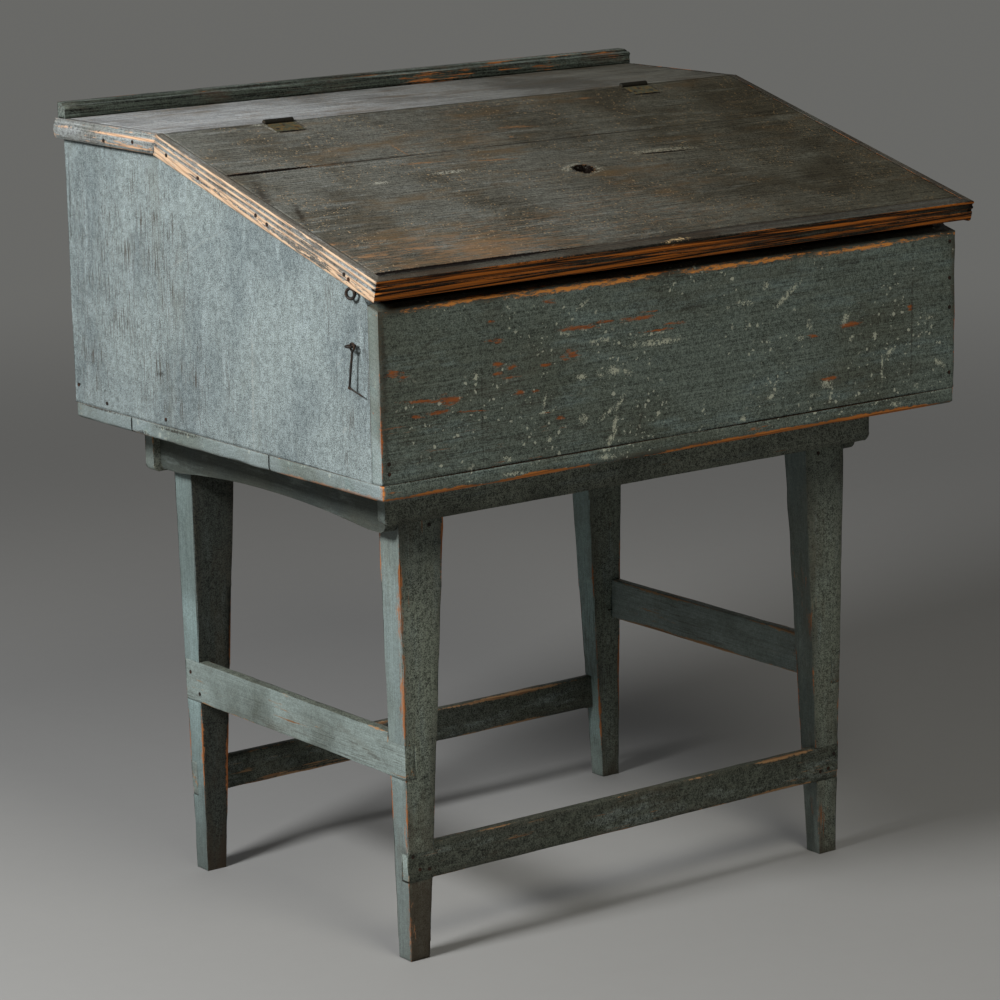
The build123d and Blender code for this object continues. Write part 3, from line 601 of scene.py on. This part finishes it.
def wornBoard(name, look, wear):
    node = nodes[name]
    shape = bmesh.new()
    shape.from_mesh(node.data)
    bmesh.ops.remove_doubles(shape, verts=shape.verts, dist=boardWork["weld"])
    bmesh.ops.dissolve_limit(shape, angle_limit=boardWork["flat"], verts=shape.verts, edges=shape.edges)
    sides = []  # the broad faces, each cut round at two depths so that wear keeps to the edges
    for face in shape.faces:
        middle = face.calc_center_median()
        known = any(face.normal.dot(way) > 0.9999 and abs((middle - spot).dot(way)) < 0.0001 for spot, way in sides)
        if face.calc_area() > wear["broad"] and not known:
            sides.append((middle, face.normal.copy()))
    low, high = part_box(name)
    for axis in range(3):
        length = high[axis] - low[axis]
        cuts = int(length / wear["step"]) if length > boardWork["cutOver"] else 0
        for cut in range(1, cuts):
            at = Vector(low)
            at[axis] += length * (cut + 0.3 * math.sin(cut * 2.3)) / cuts
            cutAcross(shape, at, Vector([float(i == axis) for i in range(3)]))
    for centre, normal in sides:
        for depth in wear["depths"]:
            cutAcross(shape, centre - normal * depth, normal)
    if wear["arch"]:  # the lower edge rises towards the middle
        for vert in shape.verts:
            along = (2 * (vert.co.y - low[1]) / (high[1] - low[1]) - 1) / boardWork["archEnd"]
            under = max(0.0, 1 - (vert.co.z - low[2]) / boardWork["archHeight"])
            vert.co.z += wear["arch"] * max(0.0, 1 - along * along) * under
    if wear["hole"]:
        sinkHole(shape, wear["hole"])
    shape.normal_update()
    openEdges, lines = [], []
    for edge in shape.edges:
        turn = math.degrees(edge.calc_face_angle_signed(0.0)) if len(edge.link_faces) == 2 else 0.0
        if turn < min(wear["angle"], wear["rubbed"]) or edge.calc_length() < boardWork["shortest"]:
            continue
        start, end = edge.verts
        if not besideAnother((start.co + end.co) / 2, name):
            if turn > wear["angle"]:
                openEdges.append(edge)
            lines.append((start.co.copy(), end.co.copy()))
    made = bmesh.ops.bevel(shape, geom=openEdges, offset=wear["width"], offset_type="OFFSET", segments=2, profile=0.5,
                           affect="EDGES", clamp_overlap=True)
    worn = {vert for face in made["faces"] for vert in face.verts}
    shape.normal_update()
    for vert in worn:
        slow = noise.noise(vert.co * boardWork["slowWear"] + Vector((3.1, 0, 0)))
        quick = noise.noise(vert.co * boardWork["quickWear"])
        depth = 0.5 + 0.9 * slow + 0.5 * quick
        vert.co -= vert.normal * wear["wander"] * min(max(depth, 0.0), boardWork["deepest"])
    near = KDTree(max(len(lines), 1))
    for index, (start, end) in enumerate(lines):
        near.insert((start + end) / 2, index)
    near.balance()
    edgeLayer = shape.verts.layers.float.new("edge")
    for vert in shape.verts:
        away = 0.0 if vert in worn else 1.0
        if away and lines:
            for spot, index, far in near.find_n(vert.co, 4):
                start, end = lines[index]
                along = (vert.co - start).dot(end - start) / max((end - start).length_squared, 1e-12)
                away = min(away, (vert.co - start.lerp(end, min(max(along, 0.0), 1.0))).length)
        vert[edgeLayer] = max(0.0, 1.0 - away / wear["reach"])
    mesh = bpy.data.meshes.new("worn_" + name)
    shape.to_mesh(mesh)
    shape.free()
    mesh.polygons.foreach_set("use_smooth", [True] * len(mesh.polygons))
    mesh.set_sharp_from_angle(angle=boardWork["sharp"])
    board = bpy.data.objects.new("worn_" + name, mesh)
    bpy.context.scene.collection.objects.link(board)
    board.modifiers.new("flat faces", "WEIGHTED_NORMAL").keep_sharp = True
    mesh.materials.append(oldWood(name + "_finish", look))
    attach(board, body_of(node)[0])
    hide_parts(name)


easedArris = {
    "width": 0.0018,  # of the bevel
    "wander": 0.0009,  # how far wear takes it in
    "angle": 40,  # edges sharper than this are eased
    "rubbed": 40,  # and those sharper than this lose paint
    "step": 0.022,  # between cuts across the board
    "broad": 0.0006,  # faces larger than this, in square metres, are cut round
    "depths": (0.004, 0.009),
    "reach": 0.009,  # how far from an edge the paint is worn
    "arch": 0.0,  # rise of a hollowed lower edge
    "hole": None,
}

# stand
legMarks = {
    "bare": [
        (-352, 263, 9, 11, 0), (-353, 236, 5, 5, 0), (-351, 160, 3.6, 44, 0), (-347, 40, 8, 40, 0),
        (-352, 336, 4.2, 66, 0), (-353, 440, 2.5, 34, 0), (319, 42, 2.6, 28, 0), (301, 320, 2.2, 20, 0),
        (350, 205, 3.5, 14, 0),
    ],
    "dark": [(-336, 130, 7, 9, 0), (-322, 118, 6, 7, 0)],
}
legLook = dict(
    oldPaint, grain="z", paint=(0.18, 0.205, 0.165), sideLightShadePaint=(0.195, 0.243, 0.236), shade=(0.13, 0.148, 0.128),
    chalk=(0.21, 0.255, 0.235), mottle=0.7, stain=0.35, footDirt=0.8, grime=0.4, brush=0.25, speckle=1.4,
    markPlane="leg", marks=legMarks, woodLight=(0.44, 0.165, 0.055))
legWear = dict(easedArris, width=0.0026, wander=0.0016, step=0.018, reach=0.011)
# the legs' side faces have their own lighter paint for the key lamp (painted light); the front right leg's sides are
# painted darker and the back left leg's front near-black where the case shades them (painted shade), and the back
# right leg's sides lighter where light reaches under the case (painted light)
legChanges = {
    "leg_front_left": {"wear": 0.34, "dirtLine": 0.13},
    "leg_front_right": {"wear": 0.33, "dirtLine": 0.02, "sideLightShadePaint": (0.115, 0.145, 0.135)},
    "leg_back_left": {"wear": 0.16, "dirtLine": 0.03, "paint": (0.05, 0.057, 0.048), "sideLightShadePaint": (0.22, 0.29, 0.285),
                      "shade": (0.05, 0.057, 0.048), "chalk": (0.1, 0.12, 0.11), "mottle": 0.5},
    "leg_back_right": {"wear": 0.2, "dirtLine": 0.02, "sideLightShadePaint": (0.26, 0.36, 0.345)},
}
for index, (name, changes) in enumerate(legChanges.items()):
    wornBoard(name, dict(legLook, offset=(index * 1.7, 0.11 * index, 0.05), **changes), legWear)

# the bars' fronts are painted far darker than their ends: painted shade under the case
barLook = dict(
    oldPaint, paint=(0.075, 0.085, 0.066), sideLightShadePaint=(0.235, 0.285, 0.268), shade=(0.075, 0.083, 0.068),
    chalk=(0.17, 0.2, 0.185), stain=0.35, wear=0.46, scuff=0.14, grime=0.3, brush=0.22, speckle=1.5,
    woodLight=(0.4, 0.23, 0.11))
stretcherWear = dict(easedArris, width=0.0022, wander=0.0012)
sideStretcher = {"grain": "y", "paint": (0.15, 0.172, 0.14)}
stretcherChanges = {"stretcher_left": sideStretcher, "stretcher_right": sideStretcher,
                    "stretcher_front": {}, "stretcher_back": {}}
for index, (name, changes) in enumerate(stretcherChanges.items()):
    wornBoard(name, dict(barLook, offset=(index * 2.3 + 0.4, 0.07 * index, 0.02), **changes), stretcherWear)
# the strips' fronts are painted lighter than the bars': painted light for the lower part lit under the case
stripLook = dict(barLook, paint=(0.215, 0.233, 0.186), wear=0.3, scuff=0.06)
for index, name in enumerate(("stand_strip_front", "stand_strip_back")):
    wornBoard(name, dict(stripLook, offset=(index * 1.9 + 6, 0.05 * index, 0.03)), easedArris)
# the rails' outer faces are painted near-black: painted shadow of the case's overhang
railLook = dict(barLook, grain="y", sideLightShadePaint=(0.062, 0.075, 0.07), wear=0.22, scuff=0.0)
for index, name in enumerate(("stand_rail_left", "stand_rail_right")):  # their lower edges are hollowed a little
    wornBoard(name, dict(railLook, offset=(index * 1.9 + 9, 0.05 * index, 0.03)), dict(easedArris, arch=0.012))
print("stand dressed")

# case
frontMarks = {
    "bare": [
        (-354, 721, 17.4, 5.9, -8), (-387, 724, 31.4, 2.6, -5), (-284, 782, 17.4, 3.0, -3),
        (-163, 783, 30.0, 2.7, -3), (-121, 785, 15.1, 2.2, -1), (-68, 784, 30.8, 2.7, -2),
        (-52, 790, 13.8, 1.3, -2), (-171, 754, 13.7, 5.4, -23), (-185, 750, 6.1, 3.6, -8),
        (-281, 754, 8.8, 3.1, -3), (-259, 748, 10.3, 3.6, -3), (-213, 745, 8.8, 3.1, 1),
        (-283, 742, 11.7, 2.9, -7), (-261, 736, 13.1, 1.9, -3), (-250, 716, 8.8, 3.1, -4),
        (-227, 715, 7.4, 2.4, -4), (-369, 708, 17.0, 2.3, 1), (-399, 707, 8.6, 2.3, -7),
        (-316, 703, 29.1, 1.1, -5), (-431, 763, 8.5, 5.8, -7), (-417, 756, 7.1, 4.7, -7),
        (-203, 819, 9.0, 2.1, -6), (-291, 806, 5.8, 2.1, -7), (-43, 766, 24.7, 1.5, -2),
        (-12, 771, 18.6, 2.0, 0), (372, 745, 4.5, 5.2, -6), (270, 735, 14.6, 4.0, 5), (208, 728, 10.0, 2.8, -7),
        (236, 671, 14.8, 3.1, 0), (-191, 678, 6.1, 2.4, -8), (454, 758, 4.4, 10.3, -6),
        (451, 674, 3.6, 7.7, -6), (452, 735, 3.5, 5.2, -8),
    ],
    "pale": [
        (166, 785, 20.6, 3.4, 35), (132, 800, 4.8, 4.2, -6), (-100, 685, 11.1, 3.0, 51),
        (-120, 674, 11.7, 2.9, 33), (-108, 659, 9.6, 3.2, 69), (-114, 643, 15.8, 3.5, 58),
        (-125, 630, 9.2, 2.4, -8), (-155, 672, 6.1, 5.4, -9), (-121, 764, 7.7, 2.9, -7),
        (-138, 764, 5.9, 1.8, 1), (-155, 810, 10.5, 2.1, 31), (-108, 725, 9.2, 4.9, -8),
        (-130, 724, 6.1, 3.6, -7), (-90, 721, 7.8, 2.9, -23), (-181, 778, 7.6, 2.1, -14),
        (-158, 724, 6.1, 3.7, -8), (-213, 702, 8.3, 1.9, 77), (-210, 688, 11.6, 1.6, 4),
        (-314, 744, 4.3, 3.6, -8), (-208, 654, 5.1, 2.9, -8), (-269, 639, 6.0, 2.9, -24),
        (-40, 751, 33.9, 3.7, -1), (-52, 762, 21.4, 1.5, 1), (203, 743, 6.6, 4.1, -77),
        (263, 745, 8.9, 4.3, 63), (324, 673, 16.8, 1.7, -90), (338, 692, 8.3, 3.9, 38),
        (421, 669, 11.9, 3.0, -33), (405, 728, 5.9, 2.6, -7), (187, 728, 4.9, 3.3, -7),
        (312, 717, 4.4, 3.3, -6), (272, 718, 5.6, 2.6, 38), (236, 644, 5.8, 3.5, -77), (210, 652, 5.0, 3.1, -8),
        (231, 666, 7.8, 5.7, -7), (139, 661, 6.0, 3.6, 18), (93, 637, 5.6, 3.8, 50), (98, 783, 11.4, 2.8, -7),
        (348, 623, 8.8, 2.9, -8), (-122, 621, 12.3, 3.2, -8), (-259, 620, 17.7, 2.0, -4),
    ],
    "dark": [
        (-406, 784, 5.6, 4.7, -7), (-380, 790, 11.6, 2.6, 24), (13, 785, 21.5, 7.7, 5),
        (266, 815, 33.1, 5.2, 1), (130, 798, 3.8, 3.7, -6), (233, 644, 6.8, 6.3, -8), (-338, 690, 22.2, 2.0, 9),
        (-305, 715, 95.7, 1.1, -90), (375, 722, 98.4, 2.1, -91), (-281, 821, 8.8, 3.5, -7),
        (-309, 800, 7.2, 3.5, -6), (-20, 830, 21.6, 6.2, 0), (-70, 654, 3.1, 14.5, -15), (-442, 770, 5, 60, 0),
        (-443, 670, 4, 36, 0),
    ],
    "hole": [(-215, 632.2, 240, 1.1, 0), (225, 632.2, 236, 1.2, 0)],
    # lines along the front board's top arris: bare wood with a painted highlight
    "litBareArris": [
        (-320, 834.5, 100, 2.8, 1.3), (-130, 832.5, 130, 3.6, 0.5), (90, 832, 125, 3.4, 0),
        (300, 831, 120, 3.0, 0.5),
    ],
}
# the front is painted darker than the same paint on the sides and ends: partly its own tone, partly painted shade, as
# the key lamp lights the sides; the bottom boards take this paint too
frontLook = dict(
    oldPaint, paint=(0.142, 0.175, 0.153), sideLightShadePaint=(0.27, 0.325, 0.32), plainEnds=True, shade=(0.105, 0.122, 0.098),
    chalk=(0.168, 0.222, 0.212), mottle=0.75, brush=0.42, speckle=1.1, spatter=0.6, spatterScale=150.0, wear=0.36,
    scuff=0.04, streaks=0.45, woodLight=(0.42, 0.115, 0.022), woodDark=(0.16, 0.05, 0.018), bareSide=(0, 1, 0),
    marks=frontMarks, darkness=0.5, grime=0.8, stain=0.26, stainColor=(0.1, 0.085, 0.055),
    paleColor=(0.62, 0.65, 0.52), fleckColor=(0.58, 0.61, 0.5))
wornBoard("case_front", frontLook, dict(easedArris, width=0.003, wander=0.0018, reach=0.01))
leftMarks = {
    "pale": [
        (-70, 701, 71.7, 2.0, -88), (61, 861, 42.1, 0.5, 153), (2, 887, 30.9, 0.4, 160),
        (85, 846, 22.4, 0.8, 158), (-260, 767, 9.1, 1.0, 145), (-400, 837, 4.0, 2.3, 174),
        (-266, 688, 4.9, 2.1, 133),
    ],
    "bare": [(-329, 836, 8.0, 5.8, -160), (-345, 830, 6.4, 4.4, -160)],
    "streaked": [
        (225, 855, 85, 70, 0), (125, 850, 45, 60, 0), (255, 765, 40, 60, 0), (160, 700, 60, 45, 0),
        (50, 705, 22, 55, 0), (300, 690, 40, 40, 0),
    ],
    # the long dark line at the panel's top (233, 977) is the gap under the top's end moulding, with the moulding's
    # shadow painted along it
    "dark": [
        (143, 698, 9.8, 3.7, 172), (281, 657, 4.0, 2.2, 173), (344, 657, 4.1, 2.2, 173),
        (348, 896, 64.8, 1.5, -89), (363, 673, 45.1, 1.3, -89), (233, 977, 123, 2.6, 0),
    ],
}
sideLook = dict(
    oldPaint, grain="z", paint=(0.228, 0.271, 0.269), shade=(0.145, 0.178, 0.184), chalk=(0.265, 0.315, 0.318),
    wear=0.2, scuff=0.0, streaks=0.75, streakColor=(0.06, 0.044, 0.031), brush=0.16, speckle=1.1, mottle=0.85,
    woodLight=(0.5, 0.26, 0.11), paleColor=(0.32, 0.34, 0.32), markPlane="left", darkness=0.8, stain=0.36,
    stainColor=(0.15, 0.16, 0.135))
wornBoard("case_side_left", dict(sideLook, bareSide=(1, 0, 0), marks=leftMarks), easedArris)
wornBoard("case_side_right", dict(sideLook, bareSide=(-1, 0, 0), offset=(4, 0.3, 0)), easedArris)
backLook = dict(oldPaint, offset=(8, 0.2, 0), bareSide=(0, -1, 0), paint=(0.13, 0.14, 0.12))
wornBoard("case_back", backLook, easedArris)
bottomMarks = {
    "hole": [(217.6, 622, 1.7, 14, 0), (-101, 622, 2.2, 14, 0)],
    "dark": [(192, 616, 14, 3, 0), (110, 629, 60, 2.4, 0), (300, 631, 70, 2.0, 0)],
}
bottomLook = dict(
    frontLook, bareSide=(0, 0, 1), wear=0.7, sideLightShadePaint=(0.225, 0.272, 0.274), woodLight=(0.6, 0.21, 0.045))
innerBottom = {
    "marks": bottomMarks, "markPlane": "left", "wear": 0.4, "woodLight": (0.34, 0.25, 0.16), "darkness": 0.85}
bottomWear = dict(easedArris, width=0.0026, wander=0.0016)
bottomChanges = {"bottom_board_front": {}, "bottom_board_middle": innerBottom, "bottom_board_back": innerBottom}
for index, (name, changes) in enumerate(bottomChanges.items()):
    wornBoard(name, dict(bottomLook, offset=(index * 3, 0.1, 0.4)) | changes, bottomWear)
print("case dressed")

# fixed top and lid
darkTop = dict(
    oldPaint, paint=(0.124, 0.127, 0.113), rightToneAndShade=(0.48, 0.445, 0.36), shade=(0.072, 0.068, 0.054),
    chalk=(0.155, 0.164, 0.154), mottle=1.0, brush=0.8, speckle=0.95, fineness=0.7, woodLight=(0.28, 0.158, 0.078),
    woodDark=(0.1, 0.058, 0.032), scuff=0.15, scuffSize=3.6, scuffSoft=0.1, scuffShow=0.55, scuffLean=(-0.28, -0.4),
    spatter=0.6, spatterScale=400.0, fleckColor=(0.38, 0.28, 0.17), paleColor=(0.4, 0.4, 0.34), stain=0.75,
    stainColor=(0.135, 0.09, 0.045), specular=0.06, markPlane="lid", darkness=0.8)
jointGap = [(-340, -467, 190, 5.2, 0)]  # where the lid's boards have parted from the front moulding
jointShade = [(130, -467, 330, 4.4, 0)]
lidMarks = {
    # the knot hole (13, -247), the carved slot (160, -226) and the notches above the hinge leaves (±284, -33) are
    # painted near-black: painted shade in these recesses
    "hole": jointGap + [
        (13, -247, 18, 15, 0), (160, -226, 44, 2.0, -3), (-400, -148, 80, 4.4, 0), (-284, -33, 25, 2.6, 0),
        (284, -33, 25, 2.6, 0),
    ],
    "pale": [
        (-9, -243, 9, 6, 20), (33, -251, 8, 7, -30), (6, -233, 14, 3, 10), (18, -261, 10, 2.5, 0),
        (163, -219, 46, 5.5, -3), (118, -222, 5, 5, 40), (-167, -211, 23.9, 4.2, -1),
        (-278, -219, 14.5, 3.6, -2), (-307.5, -17, 17, 2.0, 90), (-316, -4, 7, 2.4, 0),
    ],
    "bare": [
        (-348, -148, 86.9, 2.7, -1), (-187, -174, 43.0, 2.9, -5), (-90, -189, 37.2, 3.6, -8),
        (16, -96, 30.2, 4.7, -5), (-186, -128, 28.9, 2.1, -88), (-11, -126, 4.1, 4.2, -14),
        (182, -27, 22.2, 3.5, -4), (-426, -417, 28.2, 5.7, 1), (-353, -413, 35.9, 4.3, -3),
        (-453, -374, 19.7, 4.2, 1), (-229, -423, 41.7, 3.4, -5),
    ],
    "dark": jointShade + [
        (-446, -217, 56.5, 9.8, -111), (-434, -280, 38.2, 5.6, -111), (199, -451, 86.8, 1.8, -11),
        (-230, -148, 120, 3.4, 0), (60, -148, 190, 2.0, 0), (-261, -16, 18, 2.4, 90), (307, -16, 18, 2.4, 90),
        (261, -16, 18, 2.4, 90),
    ],
}
topLook = dict(
    darkTop, paint=(0.15, 0.175, 0.165), topPaint=(0.352, 0.372, 0.386), shade=(0.165, 0.165, 0.16),
    chalk=(0.385, 0.407, 0.42), rightToneAndShade=(0.29, 0.27, 0.21), scuff=0.16, specular=0.25, brush=0.75, speckle=0.75,
    scuffLean=None, wear=0.45, topWorn=1.0, woodLight=(0.38, 0.22, 0.11), offset=(2, 0.1, 0))
lidLook = dict(darkTop, tilted=True, bareSide=(0, 0, -1), marks=lidMarks)
wornBoard("fixed_top_board", topLook, easedArris)
wornBoard("lid_board_upper", dict(lidLook, offset=(5, 0.2, 0)), easedArris)
wornBoard("lid_board_lower", dict(lidLook, offset=(9, 0.35, 0)), dict(easedArris, hole=knotHole))

mouldingWear = dict(easedArris, width=0.002, wander=0.0012, angle=60, rubbed=4, step=0.014, broad=0.002, reach=0.0035)
lidHollows = [(-0.0055, 0.0022), (-0.0125, 0.0022)]
topHollows = [(1.002 + z, half) for z, half in lidHollows]
frontHollows = [(-0.0055, 0.0007), (-0.0125, 0.0009), (-0.019, 0.0004)]
mouldLook = dict(
    oldPaint, paint=(0.034, 0.03, 0.022), shade=(0.022, 0.018, 0.012), chalk=(0.055, 0.055, 0.045),
    woodLight=(0.45, 0.135, 0.019), woodDark=(0.014, 0.006, 0.003), woodBite=1.8, specular=0.1, wear=0.45, scuff=0.62,
    scuffSize=3.0, ringWidth=0.0026, waver=0.22, roughness=0.5, brush=1.0, speckle=1.5, hollows=lidHollows,
    topPaint=(0.064, 0.066, 0.056), tilted=True, grain="y")
lidFrontLook = dict(
    mouldLook, grain="x", longer=5.0, hollows=frontHollows, waver=0.16, ringWidth=0.0021, offset=(3, 0.48, 0),
    markPlane="lid", marks={"hole": jointGap, "dark": jointShade, "pale": [(-22, -481, 20, 3.2, 3)]},
    paleColor=(0.6, 0.43, 0.22))
paleMould = dict(
    mouldLook, brush=0.6, woodLight=(0.66, 0.47, 0.31), woodDark=(0.28, 0.16, 0.1), woodBite=0.75, wear=0.68,
    paint=(0.19, 0.205, 0.2), shade=(0.13, 0.115, 0.095), chalk=(0.26, 0.28, 0.28), scuff=0.58, scuffSize=5.0,
    waver=0.8, speckle=1.0, topPaint=(0.11, 0.108, 0.095))
topLeftLook = dict(
    paleMould, tilted=False, paint=(0.2, 0.225, 0.22), scuff=0.3, wear=0.5, hollows=topHollows,
    topPaint=(0.25, 0.26, 0.26), woodLight=(0.66, 0.42, 0.26), offset=(13, -0.46, -1.0))
topRightLook = dict(mouldLook, tilted=False, scuff=0.4, hollows=topHollows, offset=(17, 0.46, -1.0))
# the gallery's top is painted lighter and bluer than its dark front: a painted highlight
galleryLook = dict(
    oldPaint, paint=(0.036, 0.044, 0.035), sideLightShadePaint=(0.2, 0.23, 0.21), shade=(0.035, 0.042, 0.034),
    chalk=(0.085, 0.105, 0.09), wear=0.46, scuff=0.2, speckle=1.3, brush=1.2, stain=0.6, specular=0.12,
    stainColor=(0.07, 0.034, 0.02), topPaint=(0.11, 0.13, 0.118), offset=(19, 0.02, 0))
wornBoard("lid_moulding_front", lidFrontLook, mouldingWear)
wornBoard("lid_moulding_left", dict(paleMould, offset=(7, -0.46, 0)), mouldingWear)
wornBoard("lid_moulding_right", dict(mouldLook, offset=(11, 0.46, 0)), mouldingWear)
wornBoard("top_end_moulding_left", topLeftLook, mouldingWear)
wornBoard("top_end_moulding_right", topRightLook, mouldingWear)
wornBoard("gallery_rail", galleryLook, dict(mouldingWear, angle=70, rubbed=60, width=0.0014))
print("top and lid dressed")


# hinges, latch, nails and screws
def oldIron(name, look):
    material = bpy.data.materials.new(name)
    material.use_nodes = True
    tree = material.node_tree
    surface = tree.nodes["Principled BSDF"]
    where = put(tree, "TexCoord").outputs["Object"]
    rust = spread(tree, grit(tree, where, 170.0, 5.0, 0.65), 0.46, 0.62)
    pits = grit(tree, where, 900.0, 3.0, 0.6)
    color = mixed(tree, times(tree, rust, look["rusting"]), look["iron"] + (1,), look["rust"] + (1,))
    color = mixed(tree, 1.0, color, spread(tree, pits, 0.2, 0.8, 0.6, 1.3), "MULTIPLY")
    if look["knuckleIronAndShade"]:  # black round the hinge pin: partly dark iron, partly painted shade of the notch the knuckle sits in
        away = vectors(tree, "SUBTRACT", where, deskLines["hingePin"])[0]
        away = vectors(tree, "LENGTH", stretched(tree, away, (0, 1, 1)))[1]
        color = mixed(tree, spread(tree, away, 0.0056, 0.0044), color, look["knuckleIronAndShade"] + (1,))
    bump = put(tree, "Bump", {"Height": plus(tree, pits, rust), "Distance": 0.0004, "Strength": 0.4})
    roughness = spread(tree, rust, 0.0, 1.0, look["smooth"], 0.75)
    feed(tree, surface, {"Base Color": color, "Roughness": roughness, "Normal": bump.outputs[0]})
    surface.inputs["Metallic"].default_value = look["metal"]
    surface.inputs["Specular IOR Level"].default_value = look["specular"]
    return material


hingeIron = {"iron": (0.03, 0.03, 0.024), "rust": (0.08, 0.045, 0.02), "rusting": 0.7, "smooth": 0.6, "metal": 0.2,
             "specular": 0.2, "knuckleIronAndShade": None}
ironLooks = {
    "hinge_iron": hingeIron,
    "painted_leaf": {"iron": (0.062, 0.064, 0.042), "rust": (0.14, 0.088, 0.03), "rusting": 0.8, "smooth": 0.7,
                     "metal": 0.0, "specular": 0.08, "knuckleIronAndShade": (0.012, 0.011, 0.008)},
    "latch_iron": dict(hingeIron, iron=(0.02, 0.018, 0.016), rust=(0.06, 0.032, 0.018), smooth=0.5, metal=0.3,
                       specular=0.3),
    "nail_iron": dict(hingeIron, iron=(0.03, 0.024, 0.02), rust=(0.09, 0.035, 0.018), rusting=0.8, metal=0.3),
}
ironFinish = {slot: oldIron(slot + "_finish", look) for slot, look in ironLooks.items()}
for name, node in nodes.items():
    for slot in node.material_slots:
        kind = "painted_leaf" if "leaf" in name else slot.material.name.split(".")[0]
        if kind in ironFinish:
            slot.material = ironFinish[kind]
print("iron dressed")


# studio
studio = {
    "floorColor": (0.315, 0.315, 0.31),
    "backdrop": (0.14, 0.14, 0.133),  # what lies far behind, on every side
    "fadeFrom": 1.9,
    "fadeTo": 5.0,
    "keyFrom": (-2.5, -0.3, 2.15),
    "lampAim": (0.0, 0.0, 0.75),
    "keySize": 0.7,
    "keyPower": 90.0,
    "keyColor": (1.0, 1.0, 1.0),
    "fillFrom": (-0.5, -2.9, 3.7),
    "fillSize": 1.6,
    "fillPower": 58.0,
    "fillColor": (1.0, 0.96, 0.86),
    "roomLight": 0.025,
    "backLight": 0.42,
    "backFrom": (0.72, 0.69, 0.06),
}


def seenDirectly(tree):
    rays = put(tree, "LightPath").outputs
    mirrored = plus(tree, rays["Is Glossy Ray"], rays["Is Transmission Ray"])
    return maths(tree, "ADD", rays["Is Camera Ray"], mirrored, clamp=True)


def backdrop(tree, kind):
    return put(tree, kind, {"Color": studio["backdrop"] + (1,), "Strength": 1.0}).outputs[0]


def makeFloor():
    shape = bmesh.new()
    bmesh.ops.create_circle(shape, cap_ends=True, segments=96, radius=60)
    mesh = bpy.data.meshes.new("studio_floor")
    shape.to_mesh(mesh)
    shape.free()
    floor = bpy.data.objects.new("studio_floor", mesh)
    bpy.context.scene.collection.objects.link(floor)
    material = bpy.data.materials.new("studio_paper")
    material.use_nodes = True
    tree = material.node_tree
    where = put(tree, "TexCoord").outputs["Object"]
    darker = tuple(v * 0.97 for v in studio["floorColor"])
    color = mixed(tree, grit(tree, where, 30.0), studio["floorColor"] + (1,), darker + (1,))
    paper = tree.nodes["Principled BSDF"]
    feed(tree, paper, {"Base Color": color, "Roughness": 0.9})
    far = spread(tree, vectors(tree, "LENGTH", where)[1], studio["fadeFrom"], studio["fadeTo"])
    share = times(tree, far, seenDirectly(tree))
    blend = put(tree, "MixShader", {0: share, 1: paper.outputs[0], 2: backdrop(tree, "Emission")})
    feed(tree, tree.nodes["Material Output"], {"Surface": blend.outputs[0]})
    mesh.materials.append(material)


def areaLamp(which):
    data = bpy.data.lights.new(which + "_lamp", "AREA")
    data.shape = "DISK"
    data.size = studio[which + "Size"]
    data.energy = studio[which + "Power"]
    data.color = studio[which + "Color"]
    lamp = bpy.data.objects.new(which + "_lamp", data)
    bpy.context.scene.collection.objects.link(lamp)
    lamp.location = studio[which + "From"]
    lamp.rotation_euler = (Vector(studio["lampAim"]) - lamp.location).to_track_quat("-Z", "Y").to_euler()


makeFloor()
areaLamp("key")
areaLamp("fill")
world = bpy.data.worlds.new("studio")
world.use_nodes = True
sky = world.node_tree
behind = vectors(sky, "DOT_PRODUCT", put(sky, "TexCoord").outputs["Generated"], studio["backFrom"])[1]
light = spread(sky, behind, 0.2, 1.0, studio["roomLight"], studio["backLight"])
feed(sky, sky.nodes["Background"], {"Color": (1, 1, 1, 1), "Strength": light})
room = sky.nodes["Background"].outputs[0]
both = put(sky, "MixShader", {0: seenDirectly(sky), 1: room, 2: backdrop(sky, "Background")})
feed(sky, sky.nodes["World Output"], {"Surface": both.outputs[0]})
bpy.context.scene.world = world

view = {"at": (-2.83725, -3.81300, 1.54701), "turn": 0.634267, "down": 0.218087, "lean": 0.020921, "lens": 134.7}
cameraData = bpy.data.cameras.new("camera")
cameraData.lens = view["lens"]
cameraData.sensor_width = 36
camera = bpy.data.objects.new("camera", cameraData)
bpy.context.scene.collection.objects.link(camera)
camera.matrix_world = (Matrix.Translation(view["at"]) @ Matrix.Rotation(-view["turn"], 4, "Z")
                       @ Matrix.Rotation(math.pi / 2 - view["down"], 4, "X") @ Matrix.Rotation(-view["lean"], 4, "Z"))
bpy.context.scene.camera = camera
bpy.context.scene.view_settings.view_transform = "Standard"
print("studio ready")
